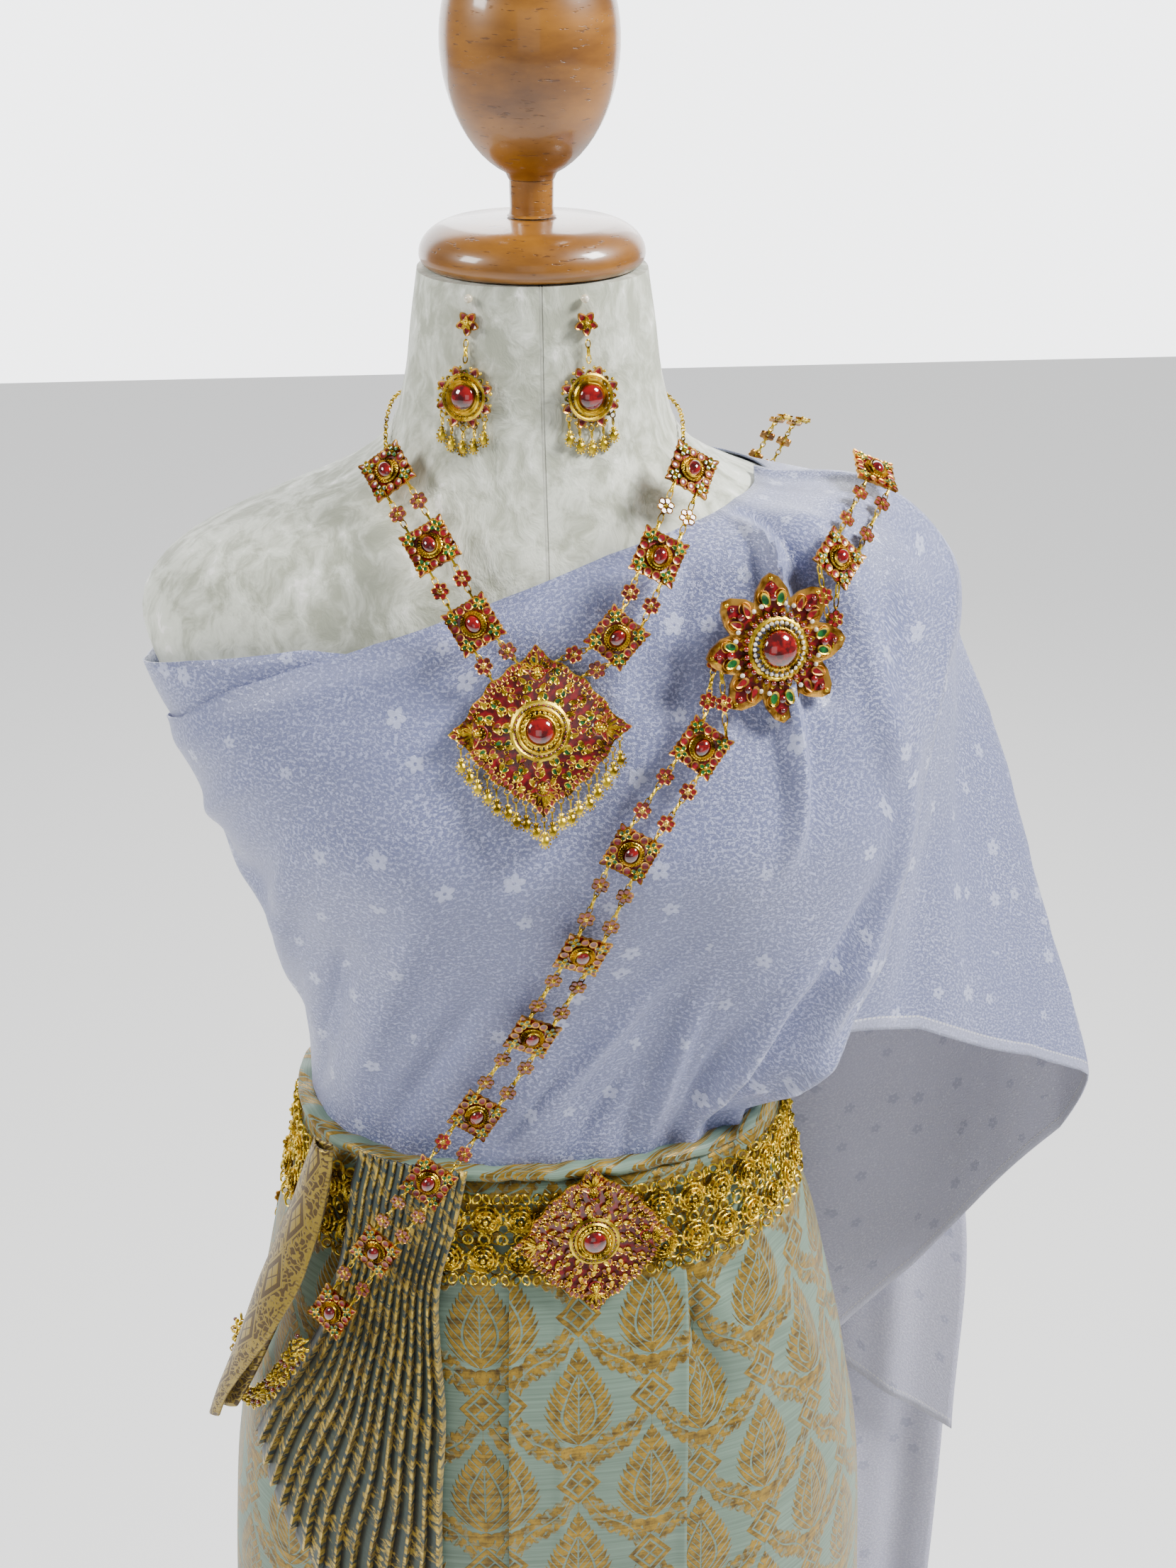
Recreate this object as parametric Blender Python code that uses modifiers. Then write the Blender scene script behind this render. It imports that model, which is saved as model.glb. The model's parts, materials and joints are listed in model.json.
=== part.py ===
"""Chut thai dress on a limbless dress form.

Frame: metres, +Z up, the wearer's front faces -Y, +X is to the right of someone facing it.
Origin: centre of the underside of the round stand base.
"""
import math

import bpy
import bmesh
from mathutils import Matrix, Vector

# ---------------------------------------------------------------- driving dimensions
GAP = 0.0003                 # clearance between neighbouring pieces
CLOTH = 0.0012               # wall of each cloth piece
UNDER_LIFT = 0.0024          # inner turn of the shawl, off the form
DRAPE_LIFT = 0.0064          # outer turn of the shawl, off the form
WAIST_Z = 1.010              # belt centre line
BELT_HEIGHT = 0.050
SQUARENESS = 2.25            # 2 is an ellipse, more is squarer

# form torso: height, half width, depth in front, depth behind
TORSO = (
    (0.740, 0.1680, 0.101, 0.106),
    (0.800, 0.1710, 0.103, 0.108),
    (0.880, 0.1570, 0.100, 0.104),
    (0.950, 0.1380, 0.095, 0.094),
    (1.010, 0.1210, 0.089, 0.084),
    (1.050, 0.1165, 0.086, 0.079),
    (1.090, 0.1180, 0.088, 0.080),
    (1.140, 0.1270, 0.096, 0.085),
    (1.190, 0.1420, 0.108, 0.091),
    (1.230, 0.1560, 0.113, 0.094),
    (1.265, 0.1710, 0.105, 0.095),
    (1.295, 0.1840, 0.094, 0.094),
    (1.318, 0.1900, 0.087, 0.092),
    (1.335, 0.1860, 0.083, 0.089),
    (1.352, 0.1680, 0.079, 0.085),
    (1.366, 0.1380, 0.075, 0.081),
    (1.377, 0.1080, 0.071, 0.077),
    (1.388, 0.0840, 0.067, 0.073),
    (1.402, 0.0690, 0.062, 0.069),
    (1.427, 0.0605, 0.056, 0.062),
    (1.455, 0.0565, 0.053, 0.056),
    (1.478, 0.0530, 0.050, 0.050),
)
BUST_ANGLE = 31              # degrees each side of centre front
BUST_SPREAD = 21
BUST_Z = 1.238
BUST_REACH = 0.048
BUST_RISE = 0.012

# skirt outside: height, half width, depth in front, depth behind
SKIRT = (
    (0.060, 0.214, 0.158, 0.150),
    (0.300, 0.206, 0.151, 0.142),
    (0.500, 0.199, 0.146, 0.137),
    (0.673, 0.191, 0.139, 0.132),
    (0.781, 0.184, 0.132, 0.127),
    (0.859, 0.171, 0.125, 0.120),
    (0.916, 0.158, 0.118, 0.112),
    (0.960, 0.148, 0.110, 0.104),
    (0.990, 0.138, 0.104, 0.098),
    (1.015, 0.131, 0.100, 0.094),
    (1.042, 0.1285, 0.098, 0.092),
)

PARTS = "chut_thai_dress"
NO_MERGE = 0.00001


# ---------------------------------------------------------------- scene and materials
def clear_scene():
    for thing in list(bpy.data.objects):
        bpy.data.objects.remove(thing, do_unlink=True)
    collection = bpy.data.collections.new(PARTS)
    bpy.context.scene.collection.children.link(collection)
    return collection


def material(name, colour, roughness, metallic=0.0):
    made = bpy.data.materials.new(name)
    made.use_nodes = True
    shader = made.node_tree.nodes["Principled BSDF"]
    shader.inputs["Base Color"].default_value = (*colour, 1.0)
    shader.inputs["Roughness"].default_value = roughness
    shader.inputs["Metallic"].default_value = metallic
    return made


def finish(name, mesh, look):
    """Link a mesh into the part's collection under its node name."""
    piece = bpy.data.objects.new(name, mesh)
    mesh.materials.append(look)
    parts.objects.link(piece)
    return piece


# ---------------------------------------------------------------- forms by section
def blend_rows(rows, z):
    """A row of the table at height z, on a smooth curve through its rows."""
    z = min(max(z, rows[0][0]), rows[-1][0])
    k = 0
    while k < len(rows) - 2 and z > rows[k + 1][0]:
        k += 1
    step = rows[k + 1][0] - rows[k][0]
    t = (z - rows[k][0]) / step

    def slope(i, column):
        low, high = max(i - 1, 0), min(i + 1, len(rows) - 1)
        return (rows[high][column] - rows[low][column]) / (rows[high][0] - rows[low][0])

    values = []
    for column in range(1, len(rows[0])):
        start, end = rows[k][column], rows[k + 1][column]
        lead, trail = slope(k, column) * step, slope(k + 1, column) * step
        values.append((2 * t ** 3 - 3 * t * t + 1) * start + (t ** 3 - 2 * t * t + t) * lead
                      + (3 * t * t - 2 * t ** 3) * end + (t ** 3 - t * t) * trail)
    return values


def oval(rows, theta, z):
    """Radius at angle theta of the oval section at height z."""
    half, front, back = blend_rows(rows, z)
    depth = front if math.sin(theta) < 0 else back
    return (abs(math.cos(theta) / half) ** SQUARENESS
            + abs(math.sin(theta) / depth) ** SQUARENESS) ** (-1 / SQUARENESS)


def torso_radius(theta, z):
    radius = oval(TORSO, theta, z)
    height = math.exp(-((z - BUST_Z) / BUST_REACH) ** 2)
    for side in (-1, 1):
        away = math.remainder(theta - math.radians(-90 + side * BUST_ANGLE), math.tau)
        radius += BUST_RISE * height * math.exp(-(math.degrees(away) / BUST_SPREAD) ** 2)
    return radius


def skirt_radius(theta, z):
    return oval(SKIRT, theta, z)


def surface(radius, theta, z, lift=0.0):
    """A point on the form given by radius(theta, z), moved out along its normal by lift."""
    def at(angle, height):
        r = radius(angle, height)
        return Vector((r * math.cos(angle), r * math.sin(angle), height))

    across = at(theta + 0.001, z) - at(theta - 0.001, z)
    upward = at(theta, z + 0.0005) - at(theta, z - 0.0005)
    normal = across.cross(upward).normalized()
    return at(theta, z) + normal * lift, normal


def table(rows, key):
    """Value at key on straight lines between the (key, value) rows."""
    if key <= rows[0][0]:
        return rows[0][1]
    for (low, start), (high, end) in zip(rows, rows[1:]):
        if key <= high:
            return start + (end - start) * (key - low) / (high - low)
    return rows[-1][1]


def ease(t):
    t = min(max(t, 0.0), 1.0)
    return t * t * (3 - 2 * t)


def grid_mesh(name, rows, closed=False):
    """A net of quads through rows of points; closed joins each row's end to its start."""
    net = bmesh.new()
    made = [[net.verts.new(p) for p in row] for row in rows]
    count = len(rows[0])
    for low, high in zip(made, made[1:]):
        for i in range(count if closed else count - 1):
            j = (i + 1) % count
            net.faces.new((low[i], low[j], high[j], high[i]))
    mesh = bpy.data.meshes.new(name)
    net.to_mesh(mesh)
    net.free()
    return mesh


def wall(name, rows, look, closed=False, thickness=CLOTH):
    """Cloth: an open net thickened outwards."""
    piece = finish(name, grid_mesh(name, rows, closed), look)
    shell = piece.modifiers.new("wall", "SOLIDIFY")
    shell.thickness = thickness
    shell.offset = 1.0
    return piece


def turned(name, profile, look, steps=32, at=(0, 0)):
    """A turned solid from (radius, height) points, top to bottom."""
    net = bmesh.new()
    points = [net.verts.new((r, 0, z)) for r, z in profile]
    for a, b in zip(points, points[1:]):
        net.edges.new((a, b))
    mesh = bpy.data.meshes.new(name)
    net.to_mesh(mesh)
    net.free()
    piece = finish(name, mesh, look)
    piece.location = (at[0], at[1], 0)
    screw = piece.modifiers.new("turn", "SCREW")
    screw.steps = steps
    screw.render_steps = steps
    screw.use_merge_vertices = True
    screw.merge_threshold = NO_MERGE
    return piece


def arc_profile(radius_x, radius_z, centre_z, start, end, count, inset=0.0):
    """Points on an ellipse's side, start and end in degrees from the top."""
    points = []
    for i in range(count + 1):
        angle = math.radians(start + (end - start) * i / count)
        points.append((inset + radius_x * math.sin(angle), centre_z + radius_z * math.cos(angle)))
    return points


# ================================================================ the dress form
parts = clear_scene()
VELVET = material("ivory_velvet", (0.70, 0.70, 0.60), 0.85)
WOOD = material("varnished_wood", (0.34, 0.17, 0.06), 0.35)
METAL = material("stand_steel", (0.16, 0.16, 0.17), 0.35, 1.0)

TORSO_TOP = TORSO[-1][0]
CAP_RADIUS = 0.0520
CAP_THICK = 0.0220
STEM_RADIUS = 0.0102
STEM_HEIGHT = 0.016
EGG_RADIUS = 0.0400
EGG_HEIGHT = 0.112
POLE_RADIUS = 0.016
BASE_RADIUS = 0.150
BASE_THICK = 0.022


def torso_rows():
    heights = [row[0] for row in TORSO]
    rows = []
    for z in heights:
        rows.append([surface(torso_radius, math.tau * i / 40, z)[0] for i in range(40)])
    return rows


def build_torso():
    """Padded form, closed at the neck and under the hips."""
    mesh = grid_mesh("form_torso", torso_rows(), closed=True)
    net = bmesh.new()
    net.from_mesh(mesh)
    bmesh.ops.holes_fill(net, edges=[e for e in net.edges if e.is_boundary], sides=0)
    bmesh.ops.recalc_face_normals(net, faces=net.faces)
    net.to_mesh(mesh)
    net.free()
    finish("form_torso", mesh, VELVET)


build_torso()

cap_bottom = TORSO_TOP + GAP
cap_top = cap_bottom + CAP_THICK
cap_profile = ([(0, cap_top), (STEM_RADIUS + 0.012, cap_top - 0.0008)]
               + arc_profile(0.021, 0.0150, cap_bottom + 0.006, 20, 90, 5, CAP_RADIUS - 0.021)
               + arc_profile(0.006, 0.006, cap_bottom + 0.006, 110, 180, 3, CAP_RADIUS - 0.006)
               + [(0, cap_bottom)])
turned("neck_cap", cap_profile, WOOD, 28)

stem_bottom = cap_top + GAP
stem_top = stem_bottom + STEM_HEIGHT
turned("finial_stem", [(0, stem_top), (STEM_RADIUS, stem_top), (STEM_RADIUS, stem_bottom),
                       (0, stem_bottom)], WOOD, 14)

egg_bottom = stem_top + GAP
egg_profile = [(0, egg_bottom + EGG_HEIGHT)]
for i in range(1, 11):
    angle = math.radians(16.2 * i)
    swell = 1 + 0.05 * math.cos(angle)          # fuller above its middle
    egg_profile.append((EGG_RADIUS * math.sin(angle) * swell,
                        egg_bottom + EGG_HEIGHT * (0.5 + 0.5 * math.cos(angle))))
egg_profile += [(0.011, egg_bottom), (0, egg_bottom)]
turned("finial_egg", egg_profile, WOOD, 20)

turned("stand_base", [(0, BASE_THICK), (0.030, BASE_THICK), (BASE_RADIUS - 0.008, BASE_THICK - 0.006),
                      (BASE_RADIUS, BASE_THICK - 0.014), (BASE_RADIUS, 0.0), (0, 0.0)], METAL, 28)
turned("stand_pole", [(0, TORSO[0][0] - GAP), (POLE_RADIUS, TORSO[0][0] - GAP),
                      (POLE_RADIUS, BASE_THICK + GAP), (0, BASE_THICK + GAP)], METAL, 14)

# ================================================================ the shawl (sabai)
SATIN = material("lavender_satin", (0.42, 0.44, 0.68), 0.35)
SATIN_BACK = material("lavender_wrong_side", (0.40, 0.40, 0.52), 0.65)

# inner turn: angle, top edge height
UNDER_TOP = ((-180, 1.296), (-162, 1.312), (-146, 1.3230), (-134, 1.3210), (-115, 1.312), (-90, 1.306),
             (-45, 1.290), (0, 1.272), (60, 1.272), (120, 1.278), (180, 1.296))
# outer turn: angle, top edge height, from the far side of the left arm over the right shoulder
DRAPE_TOP = ((-204, 1.262), (-180, 1.268), (-164, 1.284), (-155, 1.303), (-146, 1.315), (-134, 1.3270),
             (-120, 1.337), (-104, 1.346), (-90, 1.353), (-70, 1.363), (-47, 1.3715), (-27, 1.3770),
             (0, 1.3790))
SHAWL_FOOT = 0.992           # tucked into the skirt
SHOULDER_ANGLE = -3          # the drape ends on the shoulder's crest
# how far the front drape stands off the form at the right side: height, distance
STAND_OFF = ((1.000, 0.000), (1.058, 0.001), (1.078, 0.030), (1.099, 0.042), (1.159, 0.047), (1.216, 0.034),
             (1.278, 0.018), (1.320, 0.009), (1.350, 0.006), (1.380, 0.004))
# where the front drape ends at the right side: height, angle
DRAPE_END = ((0.992, -26), (1.060, -22), (1.280, -17), (1.330, -10), (1.370, -3))
# cape: height, radius at its front edge, at the side, and of the back fall it runs into
CAPE = (
    (0.700, 0.170, 0.330, 0.170),
    (0.900, 0.166, 0.332, 0.160),
    (1.010, 0.158, 0.319, 0.152),
    (1.120, 0.164, 0.280, 0.142),
    (1.213, 0.176, 0.248, 0.132),
    (1.279, 0.189, 0.222, 0.120),
    (1.330, 0.180, 0.200, 0.100),
    (1.378, 0.100, 0.110, 0.070),
)
CAPE_REACH = ((-26, 0.0), (-18, 0.06), (-9, 0.30), (-2.5, 0.53), (2, 0.78), (6, 1.0), (11, 0.98), (18, 0.84),
              (30, 0.52), (42, 0.16), (52, 0.0), (70, 0.0))
# cape hem: angle, height
CAPE_HEM = ((-22, 1.100), (-9, 1.078), (-2.5, 1.052), (2, 1.030), (5.5, 1.004), (11, 0.942), (18, 0.875),
            (25, 0.800), (32, 0.740), (60, 0.690))
CAPE_TOP = 1.3745
CAPE_BACK = 60
CAPE_LIFT = 0.0100
CAPE_SEAM = 1.4              # degrees between the drape's edge and the cape's


def stand_off(degrees, z):
    return table(STAND_OFF, z) * ease((degrees + 66) / 50)


def slack(z):
    """The cloth stands clear of the bust and of the rounded shoulder."""
    return 0.0032 * ease((z - 1.245) / 0.045) + 0.0018 * math.exp(-((z - BUST_Z) / 0.05) ** 2)


def shawl_lift(degrees, z):
    """Distance of the outer turn's inner face from the form."""
    return DRAPE_LIFT + stand_off(degrees, z) + 1.8 * slack(z)


def ring_row(radius, count, z, lift):
    return [surface(radius, math.tau * i / count - math.pi, z, lift)[0] for i in range(count)]


def build_under_wrap():
    rows, count, steps = [], 40, 9
    for j in range(steps + 1):
        row = []
        for i in range(count):
            degrees = -180 + 360 * i / count
            z = SHAWL_FOOT + (table(UNDER_TOP, degrees) - SHAWL_FOOT) * j / steps
            row.append(surface(torso_radius, math.radians(degrees), z, UNDER_LIFT + slack(z))[0])
        rows.append(row)
    wall("sabai_under_wrap", rows, SATIN, closed=True, thickness=0.0010)


def build_front_drape():
    rows, across, steps = [], 26, 14
    for j in range(steps + 1):
        v = j / steps
        end = table(DRAPE_END, SHAWL_FOOT + (DRAPE_TOP[-1][1] - SHAWL_FOOT) * v)
        row = []
        for i in range(across + 1):
            degrees = DRAPE_TOP[0][0] + (end - DRAPE_TOP[0][0]) * i / across
            z = SHAWL_FOOT + (table(DRAPE_TOP, degrees) - SHAWL_FOOT) * v
            row.append(surface(torso_radius, math.radians(degrees), z, shawl_lift(degrees, z))[0])
        rows.append(row)
    wall("sabai_front_drape", rows, SATIN)


def cape_radius(theta, z):
    """Hangs from the shoulder: the larger of the form with its cloth, and the hanging bell."""
    degrees = math.degrees(theta)
    front, side, back = blend_rows(CAPE, z)
    inner = front + (back - front) * ease((degrees - 8) / 44)
    bell = inner + (side - inner) * table(CAPE_REACH, degrees)
    form = torso_radius(theta, z) + CAPE_LIFT + 0.004 * ease((z - 1.28) / 0.03)
    if z < SKIRT[-1][0]:
        form = max(form, skirt_radius(theta, z) + CAPE_LIFT)
    sharp = 160.0
    return math.log(math.exp(sharp * bell) + math.exp(sharp * form)) / sharp


def build_cape():
    rows, across, steps = [], 18, 12
    for j in range(steps + 1):
        v = j / steps
        start = table(DRAPE_END, CAPE_HEM[0][1] + (CAPE_TOP - CAPE_HEM[0][1]) * v) + CAPE_SEAM
        row = []
        for i in range(across + 1):
            degrees = start + (CAPE_BACK - start) * i / across
            theta = math.radians(degrees)
            foot = table(CAPE_HEM, degrees)
            z = foot + (CAPE_TOP - foot) * v
            radius = cape_radius(theta, z)
            bell = Vector((radius * math.cos(theta), radius * math.sin(theta), z))
            seam = surface(torso_radius, theta, z, shawl_lift(degrees, z))[0]
            share = ease((degrees - start) / 10) * ease((CAPE_TOP - z) / 0.035)
            row.append(seam.lerp(bell, share))
        rows.append(row)
    wall("sabai_shoulder_cape", rows, SATIN_BACK)


build_under_wrap()
build_front_drape()
build_cape()

# tail down the back: height, left x, right x, y at the left, y at the right
TAIL = (
    (0.640, -0.040, 0.296, 0.162, 0.137),
    (0.850, -0.040, 0.287, 0.160, 0.137),
    (1.000, -0.034, 0.220, 0.157, 0.150),
    (1.120, -0.026, 0.150, 0.153, 0.151),
    (1.220, -0.016, 0.105, 0.142, 0.142),
    (1.300, -0.008, 0.075, 0.120, 0.123),
    (1.350, -0.002, 0.055, 0.098, 0.101),
    (1.372, 0.002, 0.044, 0.086, 0.087),
)
TAIL_FOOT = ((0.0, 0.800), (0.55, 0.800), (0.76, 0.700), (1.0, 0.640))   # place across, lowest height
UNDER_TAIL = (
    (0.110, -0.036, 0.276, 0.166, 0.152),
    (0.400, -0.036, 0.290, 0.166, 0.150),
    (0.700, -0.036, 0.292, 0.166, 0.148),
    (0.860, -0.036, 0.280, 0.166, 0.150),
)


def fall(rows_table, u, z, ripple):
    left, right, y_left, y_right = blend_rows(rows_table, z)
    wave = ripple * math.sin(u * math.tau * 1.5)
    return Vector((left + (right - left) * u, y_left + (y_right - y_left) * u + wave, z))


def build_tail():
    across, steps = 10, 13
    rows = []
    for j in range(steps + 1):
        row = []
        for i in range(across + 1):
            u = i / across
            foot = table(TAIL_FOOT, u)
            z = foot + (TAIL[-1][0] - foot) * j / steps
            row.append(fall(TAIL, 1 - u, z, 0.002 * ease((1.2 - z) / 0.3)))
        rows.append(row)
    wall("sabai_tail", rows, SATIN_BACK)
    rows = []
    for j in range(7):
        z = UNDER_TAIL[0][0] + (UNDER_TAIL[-1][0] - UNDER_TAIL[0][0]) * j / 6
        rows.append([fall(UNDER_TAIL, 1 - i / 8, z, 0.002) for i in range(9)])
    wall("sabai_tail_under", rows, SATIN)


build_tail()

# ================================================================ the skirt (pha nung)
BROCADE = material("mint_gold_brocade", (0.33, 0.42, 0.36), 0.45, 0.2)
PLEAT = material("pleated_brocade", (0.20, 0.26, 0.26), 0.5, 0.2)
BORDER = material("gold_border", (0.62, 0.47, 0.22), 0.45, 0.3)

PANEL_LIFT = CLOTH + 0.0012
FRONT_PANEL = ((0.985, -103.5, -55.5), (0.900, -103.0, -59.5), (0.800, -102.8, -62.0), (0.500, -101.0, -64.0),
               (0.060, -100.0, -65.0))      # height, left fold, right fold
PANEL_HEIGHTS = (0.064, 0.300, 0.500, 0.673, 0.781, 0.859, 0.916, 0.960, 0.980)
ROLL_Z = SKIRT[-1][0] + 0.0008


def build_skirt():
    heights = [row[0] for row in SKIRT]
    rows = [ring_row(skirt_radius, 40, z, 0.0) for z in heights]
    wall("skirt_wrap", rows, BROCADE, closed=True)
    rows = []
    panel = list(reversed(FRONT_PANEL))
    for z, left, right in [(z, *blend_rows(panel, z)) for z in PANEL_HEIGHTS]:
        rows.append([surface(skirt_radius, math.radians(left + (right - left) * i / 7), z, PANEL_LIFT)[0]
                     for i in range(8)])
    wall("skirt_front_panel", rows, BROCADE)
    rows = [ring_row(skirt_radius, 40, SKIRT[-1][0], lift) for lift in (-0.0008, -0.0008)]
    for k, row in enumerate(rows):
        for p in row:
            p.z = ROLL_Z + 0.0045 * k
    wall("skirt_waist_roll", rows, BROCADE, closed=True, thickness=0.0028)


build_skirt()

# front pleats: knife pleats gathered over the belt, fanning to the left, stepped at the foot
PLEATS = 14
PLEAT_DEPTH = 0.0042
# height, left side, right side in degrees
PLEAT_FAN = (
    (0.660, -170.0, -118.5),
    (0.820, -164.0, -118.0),
    (0.880, -157.5, -117.5),
    (0.914, -152.0, -118.2),
    (0.950, -147.0, -120.0),
    (0.987, -145.0, -121.0),
    (1.023, -144.0, -117.6),
    (1.052, -142.5, -115.0),
)
PLEAT_FOOT_LEFT = 0.868
PLEAT_FOOT_RIGHT = 0.735
PLEAT_LIFT = 0.0105


def pleat_point(u, z):
    """u from 0 at the left side to 1 at the right; each pleat rises slowly and drops at its edge."""
    left, right = blend_rows(PLEAT_FAN, z)
    along = u * PLEATS
    rise = along - math.floor(along - 1e-6)
    spread = ease((1.03 - z) / 0.10)
    lift = PLEAT_LIFT - 0.004 * spread + PLEAT_DEPTH * (0.35 + 0.65 * spread) * rise
    reach = surface(skirt_radius, math.radians(left + (right - left) * u), min(z, 1.040), lift)[0]
    return Vector((reach.x, reach.y, z))


def build_pleats():
    top, steps = PLEAT_FAN[-1][0], 8
    places = []
    for k in range(PLEATS):
        places += [(k + 0.02) / PLEATS, (k + 0.55) / PLEATS, (k + 1.0) / PLEATS]
    rows = []
    for j in range(steps + 1):
        row = []
        for u in places:
            step = math.ceil(u * PLEATS - 1e-6) / PLEATS
            foot = PLEAT_FOOT_LEFT + (PLEAT_FOOT_RIGHT - PLEAT_FOOT_LEFT) * step
            row.append(pleat_point(u, foot + (top - foot) * j / steps))
        rows.append(row)
    wall("skirt_front_pleats", rows, PLEAT)


build_pleats()

# gold end border, turned over the belt beside the pleats: its outer face and the wrong side behind it
# height, (angle, stand off the skirt) of the outer free edge, of the fold and of the inner edge
FLAP = (
    (0.872, -162.0, 0.030, -167.5, 0.026, -163.0, 0.018),
    (0.895, -159.5, 0.032, -166.5, 0.024, -161.0, 0.014),
    (0.944, -152.0, 0.032, -163.0, 0.022, -156.0, 0.012),
    (0.975, -148.6, 0.029, -161.5, 0.020, -153.0, 0.012),
    (1.000, -147.5, 0.026, -160.0, 0.018, -151.0, 0.012),
    (1.030, -147.0, 0.020, -157.0, 0.015, -149.5, 0.011),
    (1.052, -146.5, 0.016, -153.5, 0.013, -148.5, 0.011),
)


def build_flap():
    rows = []
    for z in (0.874, 0.900, 0.935, 0.968, 1.000, 1.028, 1.052):
        outer, outer_off, fold, fold_off, inner, inner_off = blend_rows(FLAP, z)
        row = []
        spans = ((outer, fold, outer_off, fold_off, 3), (fold, inner, fold_off, inner_off, 4))
        for a, b, start, end, count in spans:
            for i in range(count):
                t = i / 3
                point = surface(skirt_radius, math.radians(a + (b - a) * t), min(z, 1.040),
                                start + (end - start) * t)[0]
                row.append(Vector((point.x, point.y, z)))
        rows.append(row)
    wall("skirt_border_flap", rows[::-1], BORDER)


build_flap()

# ================================================================ belt
GOLD = material("bright_gold", (0.85, 0.60, 0.10), 0.25, 1.0)
ENAMEL = material("red_enamel_gold", (0.45, 0.10, 0.05), 0.3, 0.6)
RUBY = material("ruby_glass", (0.35, 0.0, 0.01), 0.08)
BELT_LIFT = CLOTH + 0.0016
BELT_THICK = 0.0030


def build_belt():
    rows = []
    for k in range(3):
        z = WAIST_Z + 0.0005 + BELT_HEIGHT * (k / 2 - 0.5)
        rows.append(ring_row(skirt_radius, 40, z, BELT_LIFT))
    wall("belt_band", rows, GOLD, closed=True, thickness=BELT_THICK)


build_belt()


# ---------------------------------------------------------------- flat ornaments seated on the cloth
def seat(outer, degrees, z, reach_x, reach_y, gap, turn=0.0):
    """Matrix whose Z stands on the cloth outer(degrees, z), high enough to clear it all round."""
    centre, normal = outer(degrees, z)
    across = Vector((0, 0, 1)).cross(normal).normalized()
    up = normal.cross(across)
    need = 0.0
    for k in range(16):
        angle = math.tau * k / 16
        probe = centre + across * (reach_x * math.cos(angle)) + up * (reach_y * math.sin(angle))
        point = outer(math.degrees(math.atan2(probe.y, probe.x)), probe.z)[0]
        need = max(need, (point - probe).dot(normal))
    frame = Matrix((across, up, normal)).transposed().to_4x4()
    frame.translation = centre + normal * (need + gap)
    return frame @ Matrix.Rotation(math.radians(turn), 4, "Z")


def on_form(lift):
    return lambda degrees, z: surface(torso_radius, math.radians(degrees), z, lift)


def on_shawl(degrees, z):
    return surface(torso_radius, math.radians(degrees), z, shawl_lift(degrees, z) + CLOTH)


def on_skirt(lift):
    return lambda degrees, z: surface(skirt_radius, math.radians(degrees), min(z, 1.030), lift)


def plate(name, outline, thickness, boss, boss_rise, frame, look):
    """A plate cut to the outline; its middle, boss times the outline's size, rises to a smaller top."""
    net = bmesh.new()
    faces = [net.faces.new([net.verts.new((x, y, 0)) for x, y in outline])]
    underside = faces[0]
    for size, rise in ((1.0, thickness), (boss, 0.0), (0.65, boss_rise)):
        grown = bmesh.ops.extrude_face_region(net, geom=faces)["geom"]
        passed = [face for face in faces if face is not underside]
        bmesh.ops.delete(net, geom=passed, context="FACES_ONLY")
        faces = [g for g in grown if isinstance(g, bmesh.types.BMFace)]
        verts = [g for g in grown if isinstance(g, bmesh.types.BMVert)]
        bmesh.ops.scale(net, vec=(size, size, 1), verts=verts)
        bmesh.ops.translate(net, vec=(0, 0, rise), verts=verts)
    bmesh.ops.recalc_face_normals(net, faces=net.faces)
    mesh = bpy.data.meshes.new(name)
    net.to_mesh(mesh)
    net.free()
    piece = finish(name, mesh, look)
    piece.matrix_world = frame
    return piece


def round_outline(points, radius_at):
    """Outline from radius_at(angle), the angle in degrees from +X."""
    made = []
    for k in range(points):
        angle = 360 * k / points
        made.append((radius_at(angle) * math.cos(math.radians(angle)),
                     radius_at(angle) * math.sin(math.radians(angle))))
    return made


def clipped_square(side):
    half, cut = side / 2, side * 0.36
    return [(half, -cut), (half, cut), (cut, half), (-cut, half), (-half, cut), (-half, -cut), (-cut, -half),
            (cut, -half)]


def ogee_diamond(half_wide, half_tall):
    """Four points with bowed flanks, as turned-up petals."""
    made = []
    for corner in range(4):
        start, end = math.radians(90 * corner), math.radians(90 * (corner + 1))
        for t, bow in ((0.0, 0.0), (0.18, -0.04), (0.5, 0.07), (0.82, -0.04)):
            x = (1 - t) * math.cos(start) + t * math.cos(end)
            y = (1 - t) * math.sin(start) + t * math.sin(end)
            middle = (start + end) / 2
            made.append((half_wide * (x + bow * math.cos(middle)), half_tall * (y + bow * math.sin(middle))))
    return made


def star_outline(radius):
    return round_outline(16, lambda angle: radius if round(angle / 22.5) % 2 == 0 else radius * 0.80)


def ribbon(name, path, width, look, thickness=0.0014):
    """A chain's plain strip through (point, normal) pairs."""
    rows = []
    for k, (point, normal) in enumerate(path):
        ahead = path[min(k + 1, len(path) - 1)][0] - path[max(k - 1, 0)][0]
        side = ahead.cross(normal).normalized() * (width / 2)
        rows.append([point - side, point + side])
    return wall(name, rows, look, thickness=thickness)


def along(stops, count):
    """Points and normals on a smooth curve through the stops, (place, normal) pairs."""
    made = []
    for k in range(count + 1):
        place = k / count * (len(stops) - 1)
        i = min(int(place), len(stops) - 2)
        t = place - i
        window = [stops[max(i - 1, 0)], stops[i], stops[i + 1], stops[min(i + 2, len(stops) - 1)]]
        weights = ((-t + 2 * t * t - t ** 3) / 2, (2 - 5 * t * t + 3 * t ** 3) / 2,
                   (t + 4 * t * t - 3 * t ** 3) / 2, (t ** 3 - t * t) / 2)
        point = sum((w * stop[0] for w, stop in zip(weights, window)), Vector())
        normal = sum((w * stop[1] for w, stop in zip(weights, window)), Vector()).normalized()
        made.append((point, normal))
    return made


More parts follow.
